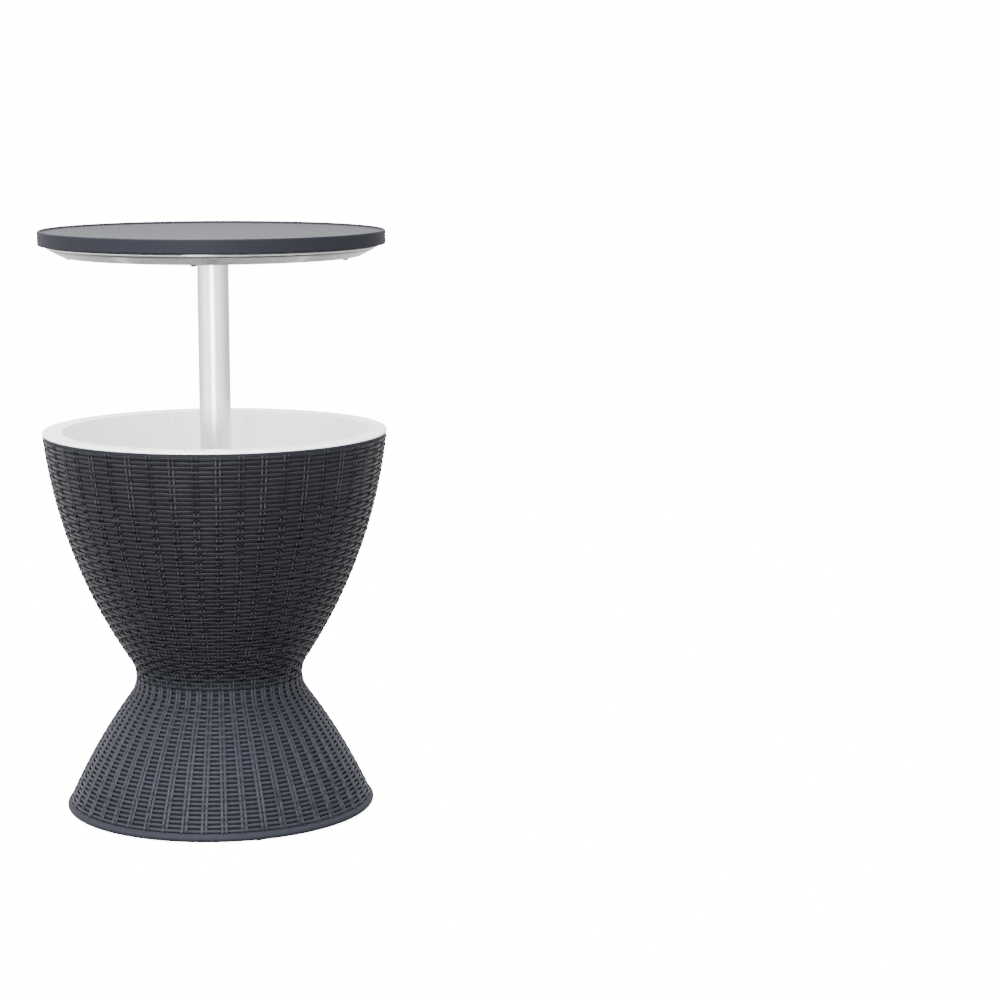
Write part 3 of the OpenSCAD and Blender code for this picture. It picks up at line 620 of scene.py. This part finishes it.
def carved(bm, *steps):
    """Joins the bmesh with others or cuts them out of it, in turn."""
    parts = [object_of("part", each) for each in (bm, *(tool for _, tool in steps))]
    for (operation, _), tool in zip(steps, parts[1:]):
        cut = parts[0].modifiers.new("cut", "BOOLEAN")
        cut.solver = "EXACT"
        cut.operation = operation
        cut.object = tool
    done = bmesh.new()
    done.from_object(parts[0], bpy.context.evaluated_depsgraph_get())
    for part in parts:
        bpy.data.meshes.remove(part.data)
    return done


def plates(bm, outline, thickness, copies, first_turn=0.0):
    """Upright plates of one outline in radius and height, evenly round the axis."""
    corners = [bm.verts.new((radius, -thickness / 2, height)) for radius, height in outline]
    face = bm.faces.new(corners)
    grown = bmesh.ops.extrude_face_region(bm, geom=[face], use_keep_orig=True)["geom"]
    far = [part for part in grown if isinstance(part, bmesh.types.BMVert)]
    bmesh.ops.translate(bm, vec=(0, thickness, 0), verts=far)
    bmesh.ops.rotate(bm, cent=(0, 0, 0), verts=corners + far,
                     matrix=Matrix.Rotation(first_turn, 3, "Z"))
    repeated(bm, corners + far, copies)
    bmesh.ops.recalc_face_normals(bm, faces=bm.faces)


# Section of a row's strand, out of the wall and up it: a flat face, a tight upper edge
ROW_SECTION = ((0.54, -0.88), (0.76, -0.42), (0.93, 0.12), (1.00, 0.58), (0.90, 0.87),
               (0.44, 1.00), (-1.00, 0.70), (-1.00, -0.60), (-0.08, -1.00), (0.26, -0.98))
# Section of a stake, sideways and out of the wall: a flat ribbon with rounded shoulders
STAKE_SECTION = ((-1.00, -1.00), (-1.00, 0.20), (-0.55, 0.96), (0.55, 0.96), (1.00, 0.20),
                 (1.00, -1.00))
# Steps of a row from one pair of stakes to the next
ROW_STEPS = 6
# How fast a row's stray changes round the body and from row to row
STRAY_ROUND, STRAY_UP = 9, 3.7


def wound_rows(wall_at, top, part, weave, rows):
    """Rows that go round the body and rise over one pair of stakes and dip under the next."""
    pitch = top / part.rows
    half_height, half_depth = pitch * part.row_height / 2, weave.row_depth / 2
    bm = bmesh.new()
    row_of = bm.verts.layers.int.new("row")
    high_of = bm.verts.layers.float.new("high")
    ways = {}
    for row in rows:
        point, out = wall_at((row + 0.5) * pitch, -half_depth - part.row_lift)
        up = Vector((-out.y, out.x))
        ways[row] = out
        ring = []
        for across, along in ROW_SECTION:
            spot = point + across * half_depth * out + along * half_height * up
            ring.append(bm.verts.new((spot.x, 0, spot.y)))
            ring[-1][row_of] = row
            ring[-1][high_of] = along * half_height
        for ends in zip(ring, ring[1:] + ring[:1]):
            bm.edges.new(ends)
    swept(bm, bm.verts[:] + bm.edges[:], ROW_STEPS * part.pairs)
    for vert in bm.verts:
        row = vert[row_of]
        radius = hypot(vert.co.x, vert.co.y)
        round_x, round_y = vert.co.x / radius, vert.co.y / radius
        place = (atan2(round_y, round_x) - FRONT - part.first_turn) * part.pairs / FULL_TURN
        pair = round(place)
        away = abs(place - pair) * FULL_TURN * radius / part.pairs
        side = 1 if (pair + row) % 2 == 0 else -1
        level = 1 - ease((away - part.row_flat) / part.row_flat)
        rise = part.row_lift * side * level
        stray = weave.row_stray * noise.noise(Vector(
            (round_x * STRAY_ROUND, round_y * STRAY_ROUND, row * STRAY_UP)))
        climb = stray - vert[high_of] * weave.row_pinch * level
        out = ways[row]
        wide = rise * out.x - climb * out.y
        vert.co += Vector((wide * round_x, wide * round_y, rise * out.y + climb * out.x))
    tidy(bm)
    return bm


def upright_stakes(wall_at, top, part, weave):
    """Pairs of stakes up the wall, each stake over the rows where these dip under it."""
    bm = bmesh.new()
    half_row, half_depth = top / part.rows / 2, weave.stake_depth / 2
    for pair, over in ((0, -1), (1, 1)):
        for side in (-1, 1):
            frames = []
            for step in range(2 * part.rows + 1):
                rise = over * part.stake_lift * cos(pi * (step / 2 - 0.5))
                point, out = wall_at(min(step * half_row, top),
                                     rise - part.stake_sink - half_depth)
                gap = part.stake_gap * (weave.gap_share + point.x / part.gap_growth)
                frames.append(strand_frame(point, out, side * gap / 2, part.stake_width / 2,
                                           half_depth))
            angle = FRONT + part.first_turn + pair * FULL_TURN / part.pairs
            bmesh.ops.rotate(bm, cent=(0, 0, 0), verts=run_strand(bm, frames),
                             matrix=Matrix.Rotation(angle, 3, "Z"))
    repeated(bm, bm.verts[:], part.pairs // 2)
    tidy(bm)
    return bm


def run_strand(bm, frames):
    """Extrudes the stake's section through the frames into a closed strand; returns its verts."""
    made = [bm.verts.new(frames[0] @ Vector((*corner, 0))) for corner in STAKE_SECTION]
    face = bm.faces.new(made)
    for before, after in zip(frames, frames[1:]):
        grown = bmesh.ops.extrude_face_region(bm, geom=[face])["geom"]
        verts = [part for part in grown if isinstance(part, bmesh.types.BMVert)]
        face = next(part for part in grown if isinstance(part, bmesh.types.BMFace))
        bmesh.ops.transform(bm, matrix=after @ before.inverted(), verts=verts)
        made += verts
    return made


def weave_finishes(tints):
    """Finishes of rows, stakes, plain parts and the depth between the strands, which wears painted
    shade; the stakes are painted paler as a painted highlight.
    """
    # Painted highlight: the stakes wear paler copies of the slate, most of all on the bowl, in
    # place of the highlights along them.
    painted_highlight_tints = [[times * part for part in tint]
             for times, tint in ((1.08, tints.weave), (1.35, tints.bowl_weave_painted_shade))]
    return (material("slate_rows", strand_finish, tints.weave, tints.bowl_weave_painted_shade, False),
            material("slate_stakes", strand_finish, *painted_highlight_tints, True),
            material("slate_plain", grained_finish, [0.85 * part for part in tints.weave], 0.5),
            material("weave_depth", grained_finish, tints.painted_shade_back, 0.7))


# Pieces

def base_shell(body, size, sink):
    """Wall behind the weave, foot band, foot ring, deck and the ribs under it."""
    waist = body.waist_middle.y
    deck_low, ring_high = waist - size.wall, size.foot_low + size.wall
    ring_in, edge = size.band_radius - size.foot_ring, size.foot_round
    step_in, step_down, deck_room, slack = 0.0014, 0.0002, 0.012, 0.0003
    rib_in, rib_high, rib_end, rib_wall, seated = 0.050, 0.046, 0.008, 0.003, 0.001
    ribs = 6

    def inside(height, beyond=0.0):
        return body.base_radius(height, -size.wall) + beyond, height

    rise = deck_low - deck_room - size.band_height
    outline = [(ring_in, size.foot_low)]
    outline += bend((size.band_radius - edge, size.foot_low + edge), edge, -90, 70, 10)
    outline += [body.base(0.0, -step_in)[0] - Vector((0, step_down))]
    outline += [body.base(body.base_length * i / 24, -sink)[0] for i in range(25)]
    outline += [(size.hole, waist), (size.hole, deck_low), inside(deck_low)]
    outline += [inside(size.band_height + rise * i / 12) for i in range(12, -1, -1)]
    outline += [(inside(size.band_height)[0], ring_high), (ring_in, ring_high)]
    bm = turned(outline, 200)
    rib_foot = deck_low - rib_high
    plates(bm, [(rib_in, deck_low + seated),
                (inside(deck_low, seated)[0], deck_low + seated),
                inside(rib_foot, seated), inside(rib_foot, -size.wall),
                (rib_in, deck_low - rib_end)], rib_wall, ribs, FULL_TURN / ribs / 2)
    # Only the outer face behind the weave wears the first material, the painted shade deep between
    # the strands; the foot band and the inside wear the plain slate.
    for face in bm.faces:
        middle = face.calc_center_median()
        wide = hypot(middle.x, middle.y)
        within = wide < body.base_radius(max(middle.z, size.band_height), -sink - slack)
        face.material_index = int(middle.z < size.band_height or within)
    return bm


class SIDE_TABLE_OT_base(Operator):
    """Weaves the flared base on its shell, with the plain foot band"""

    bl_idname = "side_table.base"
    bl_label = "Woven base"

    def execute(self, context):
        scene = context.scene
        size, part, weave = scene.table_outline, scene.table_base, scene.table_weave
        body = Hourglass(size)
        rows, stakes, plain, depth = weave_finishes(scene.table_colours)
        bm = wound_rows(body.base, body.base_length, part, weave, range(part.rows))
        finish_piece("base_rows", bm, "stand", None, "woven_base", rows)
        bm = upright_stakes(body.base, body.base_length, part, weave)
        finish_piece("base_stakes", bm, "stand", None, "woven_base", stakes)
        finish_piece("base_shell", base_shell(body, size, part.shell_sink), "stand",
                     "base_pedestal", "woven_base", depth, plain, crease=40)
        return {"FINISHED"}


def bowl_shell(body, size, top, sink):
    """Wall behind the weave, floor plate and the band under the rim."""
    waist, band_sink, skin = body.waist_middle.y, 0.0012, size.wall
    # The inside starts on the floor plate and ends half a step below the rim
    start = size.waist_curve * asin(skin / (size.waist_curve + skin))
    outline = [(size.hole, waist)]
    outline += [body.bowl(top * i / 40, -sink)[0] for i in range(41)]
    outline += [body.bowl(top, -band_sink)[0], (size.rim_radius - band_sink, size.rim_height),
                (size.rim_radius - skin, size.rim_height)]
    outline += [body.bowl(start + (body.bowl_length - start) * i / 32.5, -skin)[0]
                for i in range(32, -1, -1)]
    outline += [(size.hole, waist + skin)]
    bm = turned(outline, 192)
    # Below the rim band the whole shell wears the first material, the painted shade deep between
    # the strands; the band under the rim wears the plain slate.
    for face in bm.faces:
        face.material_index = int(face.calc_center_median().z > body.bowl(top)[0].y)
    return bm


def drain_seat(size):
    """Plain disc with a bore and a rounded edge, from its own face back into the wall."""
    proud, deep, edge = 0.0016, 0.0073, 0.0008
    return turned([(size.bore, -deep), (size.bore, proud),
                   *bend((size.seat - edge, proud - edge), edge, 90, 0),
                   (size.seat, -deep)], 64)


class SIDE_TABLE_OT_bowl(Operator):
    """Weaves the bowl on its shell, with the plain band under the rim and the drain's seat"""

    bl_idname = "side_table.bowl"
    bl_label = "Woven bowl"

    def execute(self, context):
        scene = context.scene
        size, part, weave = scene.table_outline, scene.table_bowl, scene.table_weave
        body = Hourglass(size)
        top, half = body.bowl_length - weave.rim_band, part.rows // 2
        rows, stakes, plain, depth = weave_finishes(scene.table_colours)
        for name, these in (("bowl_rows_low", range(half)),
                            ("bowl_rows_high", range(half, part.rows))):
            bm = wound_rows(body.bowl, top, part, weave, these)
            finish_piece(name, bm, "stand", None, "woven_bowl", rows)
        bm = upright_stakes(body.bowl, top, part, weave)
        finish_piece("bowl_stakes", bm, "stand", None, "woven_bowl", stakes)
        finish_piece("bowl_wall", bowl_shell(body, size, top, part.shell_sink), "stand",
                     "bowl_shell", "woven_bowl", depth, plain, crease=40)
        bm = drain_seat(scene.table_bucket)
        bm.transform(body.at_back(scene.table_bucket.drain))
        finish_piece("drain_seat", bm, "stand", None, "woven_bowl", plain, crease=40)
        return {"FINISHED"}


def bucket_outline(body, size):
    """Inside from the floor's hole up to the rim, and down the outside again."""
    mouth_edge, rim_edge, room = 0.002, 0.0012, 0.0006
    flat_in, flat_out = size.mouth + 0.0024, size.rim - 0.0016
    seat_high = body.size.rim_height
    corner = Vector((body.bowl_radius(size.floor + size.corner, -size.inset - size.corner),
                     size.floor + size.corner))
    end = degrees(bearing(body.bowl_middle, corner))
    wall_low = corner.y + size.corner * sin(radians(end))
    wall_high = seat_high - size.mouth_drop
    heights = [wall_low + (wall_high - wall_low) * i / 20 for i in range(1, 21)]
    points = [(size.hole, size.floor), *bend(corner, size.corner, -90, end, 8)]
    points += [(body.bowl_radius(z, -size.inset), z) for z in heights]
    points += bend((size.mouth + mouth_edge, size.rim_high - mouth_edge), mouth_edge, 180, 90)
    points += [(flat_in, size.rim_high), (flat_out, size.rim_high)]
    points += bend((size.rim - rim_edge, size.rim_high - rim_edge), rim_edge, 90, 0)
    points += [(size.rim, seat_high), (size.mouth + size.wall + room, seat_high)]
    points += [(body.bowl_radius(z, size.wall - size.inset), z) for z in reversed(heights)]
    points += bend(corner, size.corner + size.wall, end, -90, 8)
    return points + [(size.hole, size.floor - size.wall)]


class SIDE_TABLE_OT_bucket(Operator):
    """Turns the white bucket, with its wide rim, its standing ring and the drain's seat"""

    bl_idname = "side_table.bucket"
    bl_label = "Ice bucket"

    def execute(self, context):
        scene = context.scene
        size, tints = scene.table_bucket, scene.table_colours
        body = Hourglass(scene.table_outline)
        low, high = body.waist_middle.y + body.size.wall, size.floor - 0.001
        ring_in, ring_out = 0.059, 0.062
        ring = turned([(ring_in, low), (ring_out, low), (ring_out, high), (ring_in, high)], 96)
        seat_in, seat_out, recess = -0.0274, -0.0076, 0.0144
        drain = body.at_back(size.drain)
        bm = carved(turned(bucket_outline(body, size), 192), ("UNION", ring),
                    ("UNION", rod(size.seat, seat_in, seat_out, drain)),
                    ("DIFFERENCE", rod(recess, seat_in - size.seat, seat_in, drain)),
                    ("DIFFERENCE", rod(size.bore, seat_in - size.seat, 0, drain)))
        white = material("white_plastic", bucket_finish, tints.bucket, 0.28)
        finish_piece("bucket", bm, "stand", "ice_liner", "white_bucket", white, crease=35)
        return {"FINISHED"}


def column_tube(size, floor):
    """Tube with a flange on the bucket's floor and gussets on the flange."""
    bore, out, foot = size.column - size.column_wall, size.column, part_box("guide_column")[0].z
    low, high, edge, fillet = floor + 0.002, floor + 0.006, 0.0012, 0.002
    outline = [(bore, foot), (out, foot), (out, low), (size.flange, low)]
    outline += bend((size.flange - edge, high - edge), edge, 0, 90)
    outline += bend((out + fillet, high + fillet), fillet, 270, 180)
    outline += [(out, size.column_top), (bore, size.column_top)]
    bm = turned(held(outline), 96)
    sole, sunk, margin = high - 0.0006, 0.001, 0.003
    gusset_high, gusset_wall, gussets = 0.026, 0.003, 6
    plates(bm, [(out - sunk, sole), (size.flange - margin, sole),
                (out - sunk, sole + gusset_high)], gusset_wall, gussets)
    return bm


def collar_ring(size):
    """Ring over the column's mouth, with grip ribs round its side."""
    lip, cap = size.column_top + 0.002, size.column_top + 0.005
    hole, wide, low = size.pole + 0.0004, size.column + 0.004, cap - 0.018
    room, edge, shoulder, grip = 0.00005, 0.0008, 0.0024, 0.001
    outline = [(size.column + room, low), (wide - edge, low), (wide, low + edge), (wide, lip)]
    outline += bend((wide - shoulder, cap - shoulder), shoulder, 10, 90, 5)
    outline += bend((hole + edge, cap - edge), edge, 90, 180)
    outline += [(hole, lip), (size.column + room, lip)]
    bm = turned(held(outline), 96)
    verts = bar(bm, grip, low + grip, lip - grip, Matrix.Translation((wide, 0, 0)), 8)
    repeated(bm, verts, size.grips)
    return bm


class SIDE_TABLE_OT_column(Operator):
    """Turns the guide column with its flange and gussets, and the ribbed collar on top of it"""

    bl_idname = "side_table.column"
    bl_label = "Guide column and collar"

    def execute(self, context):
        scene = context.scene
        size, floor = scene.table_lift, scene.table_bucket.floor
        white = material("column_white", smooth_finish, scene.table_colours.bucket, 0.34)
        finish_piece("column", column_tube(size, floor), "stand", "guide_column",
                     "white_column", white, crease=35)
        finish_piece("collar", collar_ring(size), "stand", "column_collar", "white_column",
                     white, crease=35)
        return {"FINISHED"}


def top_outline(size):
    """From the middle of the underside out to the skirt, over the lip and back in."""
    surface, lip = size.high - size.lip_height, size.radius - size.lip_width
    under, skirt_in = surface - size.wall, size.radius - size.wall
    edge, bevel, lip_edge, foot, foot_out = size.edge_round, 0.0006, 0.0010, 0.0012, 0.0016
    points = [(0, under), (skirt_in / 2, under), (skirt_in, under),
              (skirt_in, size.low + bevel), (skirt_in + bevel, size.low)]
    points += bend((size.radius - edge, size.low + edge), edge, -90, 0)
    points += bend((size.radius - edge, size.high - edge), edge, 0, 90)
    points += bend((lip + lip_edge, size.high - lip_edge), lip_edge, 90, 170)
    points += bend((lip - foot_out, surface + foot), foot, -15, -90)
    return points + [(lip * 0.66, surface), (lip / 3, surface), (0, surface)]


def pan_outline(size, hole):
    """Along the underside, up the curved side and round the bead, and back inside it."""
    floor, lean = size.pan_low + size.pan_wall, -degrees(size.pan_lean)
    slope_end, wall_high = -25, size.low + 0.006
    out = Vector((cos(size.pan_lean), -sin(size.pan_lean)))
    foot = Vector((size.pan_flat, size.pan_low + size.pan_foot))
    edge = foot + (size.pan_foot - size.pan_curve) * out
    edge += size.pan_side * Vector((-out.y, out.x))
    bead = (size.pan_radius, size.low - size.bead_drop)
    points = [(hole, size.pan_low), (size.pan_flat / 2, size.pan_low)]
    points += bend(foot, size.pan_foot, -90, lean)
    points += bend(edge, size.pan_curve, lean, slope_end, 6)
    points += bend(bead, size.pan_bead, -110, 90, 8)
    points += [(size.pan_radius, wall_high), (size.pan_radius - size.pan_wall, wall_high)]
    points += bend(edge, size.pan_curve - size.pan_wall, slope_end, lean)
    points += bend(foot, size.pan_foot - size.pan_wall, lean, -90)
    return points + [(hole, floor)]


class SIDE_TABLE_OT_top(Operator):
    """Turns the table top with its lip and skirt, the silver-grey pan under it and the pole"""

    bl_idname = "side_table.top"
    bl_label = "Table top, pan and pole"

    def execute(self, context):
        scene = context.scene
        size, tints, lift = scene.table_top, scene.table_colours, scene.table_lift
        slate = material("table_slate", grained_finish, tints.table, 0.5, 0.068)
        bm = turned(held(top_outline(size), False), 256, closed=False)
        finish_piece("top_plate", bm, "top", "table_top", "table_plastic", slate, crease=35)
        room, slack = 0.0004, 0.0003
        bm = turned(held(pan_outline(size, lift.pole + room)), 256)
        bead_in = size.pan_radius - size.pan_bead
        bead_low = size.low - size.bead_drop - size.pan_bead - slack
        for face in bm.faces:
            middle = face.calc_center_median()
            # The bead's faces wear the paler silver: smoother than the pan, and painted paler as a
            # painted highlight.
            face.material_index = int(hypot(middle.x, middle.y) > bead_in
                                      and middle.z > bead_low)
        silver = material("pan_silver", silver_finish, tints.pan, 0.18)
        bead_polish_and_highlight = material("polished_bead", silver_finish, tints.bead, 0.14)
        finish_piece("pan", bm, "top", "lid_pan", "pan_plastic", silver, bead_polish_and_highlight, crease=35)
        low, high = (corner.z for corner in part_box("pole"))
        bore = lift.pole - lift.pole_wall
        bm = turned([(bore, low), (lift.pole, low), (lift.pole, high), (bore, high)], 128)
        drawn = material("drawn_aluminium", drawn_finish, tints.pole, 0.28)
        finish_piece("lift_pole", bm, "top", "pole", "pole_metal", drawn, crease=35)
        return {"FINISHED"}


class SIDE_TABLE_OT_finishes(Operator):
    """Gives every solid that is kept its finish"""

    bl_idname = "side_table.finishes"
    bl_label = "Finishes of the solids"

    def execute(self, context):
        tints = context.scene.table_colours
        steel = material("zinc_steel", metal_finish, (0.62, 0.62, 0.63), 0.34, 900, 0.00003)
        black = material("black_steel", metal_finish, (0.03, 0.03, 0.03), 0.45, 900, 0.00003)
        cast = material("cast_aluminium", metal_finish, (0.52, 0.52, 0.54), 0.5, 600, 0.0001)
        white = material("column_white", smooth_finish, tints.bucket, 0.34)
        dark = material("dark_plastic", grained_finish, tints.dark, 0.42)
        rubber = material("matt_rubber", grained_finish, tints.dark, 0.75)
        bush = material("grey_bush", grained_finish, (0.10, 0.10, 0.105), 0.40)
        for names, finish in (
                ("pole_hub", cast), ("pan_screws", black), ("column_nut column_plug", white),
                ("lock_ring cam_plug guide_bush", bush),
                ("waist_screws cam_pin hub_bolt hub_screws", steel),
                ("drain_spout drain_nut drain_cap", dark),
                ("foot_pads column_seal drain_seal drain_gasket", rubber)):
            for name in names.split():
                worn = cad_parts[name].data.materials
                worn.clear()
                worn.append(finish)
        return {"FINISHED"}


def pale_floor(stage):
    bm = bmesh.new()
    bmesh.ops.create_circle(bm, cap_ends=True, segments=96, radius=stage.floor_radius)
    floor = object_of("floor", bm)
    finish = Finish("pale_floor", (0.9, 0.9, 0.9), 0.9)
    finish.wear(emission_color=(1, 1, 1, 1), emission_strength=stage.backdrop * stage.floor_glow)
    floor.data.materials.append(finish.material)
    floor.visible_diffuse = False
    floor.visible_glossy = False


def backdrop(scene, stage):
    """Even backdrop for the camera; for the object, a bright room over a dimmer floor."""
    world = bpy.data.worlds.new("studio")
    scene.world = world
    nodes = Nodes(world)
    right, back, up = nodes.axes(nodes.node("ShaderNodeTexCoord", out="Generated"))
    floor = nodes.spread(back, 0.0, 0.5, stage.floor_near, stage.floor_far)
    walls = nodes.spread(back, -0.6, 0.4, 1.0, stage.back_light)
    above = nodes.spread(up, -0.32, -0.02)
    tone = (floor + (walls - floor) * above) * (1 - stage.left_light * right)
    room = nodes.node("ShaderNodeBackground", None,
                      {"Color": tone, "Strength": stage.room_light})
    seen = nodes.node("ShaderNodeBackground", None,
                      {"Color": (1, 1, 1, 1), "Strength": stage.backdrop})
    camera_ray = nodes.node("ShaderNodeLightPath", out="Is Camera Ray")
    both = nodes.node("ShaderNodeMixShader", None, {0: camera_ray, 1: room, 2: seen})
    nodes.node("ShaderNodeOutputWorld", None, {0: both}, None)


def area_light(name, place, size, power):
    data = bpy.data.lights.new(name, "AREA")
    data.shape = "RECTANGLE"
    data.size, data.size_y = size
    data.energy = power
    lamp = placed(name, data)
    lamp.visible_camera = False
    lamp.location = place
    aim = LAMP_AIM - Vector(place)
    lamp.rotation_euler = aim.to_track_quat("-Z", "Y").to_euler()


class SIDE_TABLE_OT_stage(Operator):
    """Sets the pale floor, the soft lights and the camera"""

    bl_idname = "side_table.stage"
    bl_label = "Stage"

    def execute(self, context):
        stage = context.scene.table_stage
        pale_floor(stage)
        backdrop(context.scene, stage)
        for name, about in LAMPS.items():
            area_light(name, *about)
        camera = placed("camera", bpy.data.cameras.new("camera"))
        camera.data.sensor_width = 36
        camera.data.lens = stage.lens
        camera.data.clip_end = 60
        camera.location = stage.camera_place
        camera.rotation_euler = (pi / 2 - stage.camera_pitch, 0, 0)
        context.scene.camera = camera
        return {"FINISHED"}


MAKERS = (SIDE_TABLE_OT_base, SIDE_TABLE_OT_bowl, SIDE_TABLE_OT_bucket, SIDE_TABLE_OT_column,
          SIDE_TABLE_OT_top, SIDE_TABLE_OT_finishes, SIDE_TABLE_OT_stage)
SETTINGS = {"table_outline": OutlineSizes, "table_weave": WeaveSizes, "table_base": BaseWeave,
            "table_bowl": BowlWeave, "table_top": TopSizes, "table_bucket": BucketSizes,
            "table_lift": LiftSizes, "table_colours": FinishColours, "table_stage": StageSizes}


class SIDE_TABLE_PT_makers(Panel):
    """Lists the makers of the side table's pieces and their settings"""

    bl_idname = "SIDE_TABLE_PT_makers"
    bl_label = "Side table"
    bl_space_type = "VIEW_3D"
    bl_region_type = "UI"
    bl_category = "Side table"

    def draw(self, context):
        for maker in MAKERS:
            self.layout.operator(maker.bl_idname)
        for name, group in SETTINGS.items():
            column = self.layout.column(heading=name.replace("_", " ").capitalize())
            for key in group.__annotations__:
                column.prop(getattr(context.scene, name), key)


def register():
    for name, group in SETTINGS.items():
        name_settings(group)
        bpy.utils.register_class(group)
        setattr(bpy.types.Scene, name, PointerProperty(type=group))
    for part in (*MAKERS, SIDE_TABLE_PT_makers):
        bpy.utils.register_class(part)


def unregister():
    for part in (SIDE_TABLE_PT_makers, *reversed(MAKERS)):
        bpy.utils.unregister_class(part)
    for name, group in reversed(SETTINGS.items()):
        delattr(bpy.types.Scene, name)
        bpy.utils.unregister_class(group)


def main():
    register()
    bpy.ops.side_table.base()
    bpy.ops.side_table.bowl()
    bpy.ops.side_table.bucket()
    bpy.ops.side_table.column()
    bpy.ops.side_table.top()
    bpy.ops.side_table.finishes()
    bpy.ops.side_table.stage()


if __name__ == "__main__":
    main()
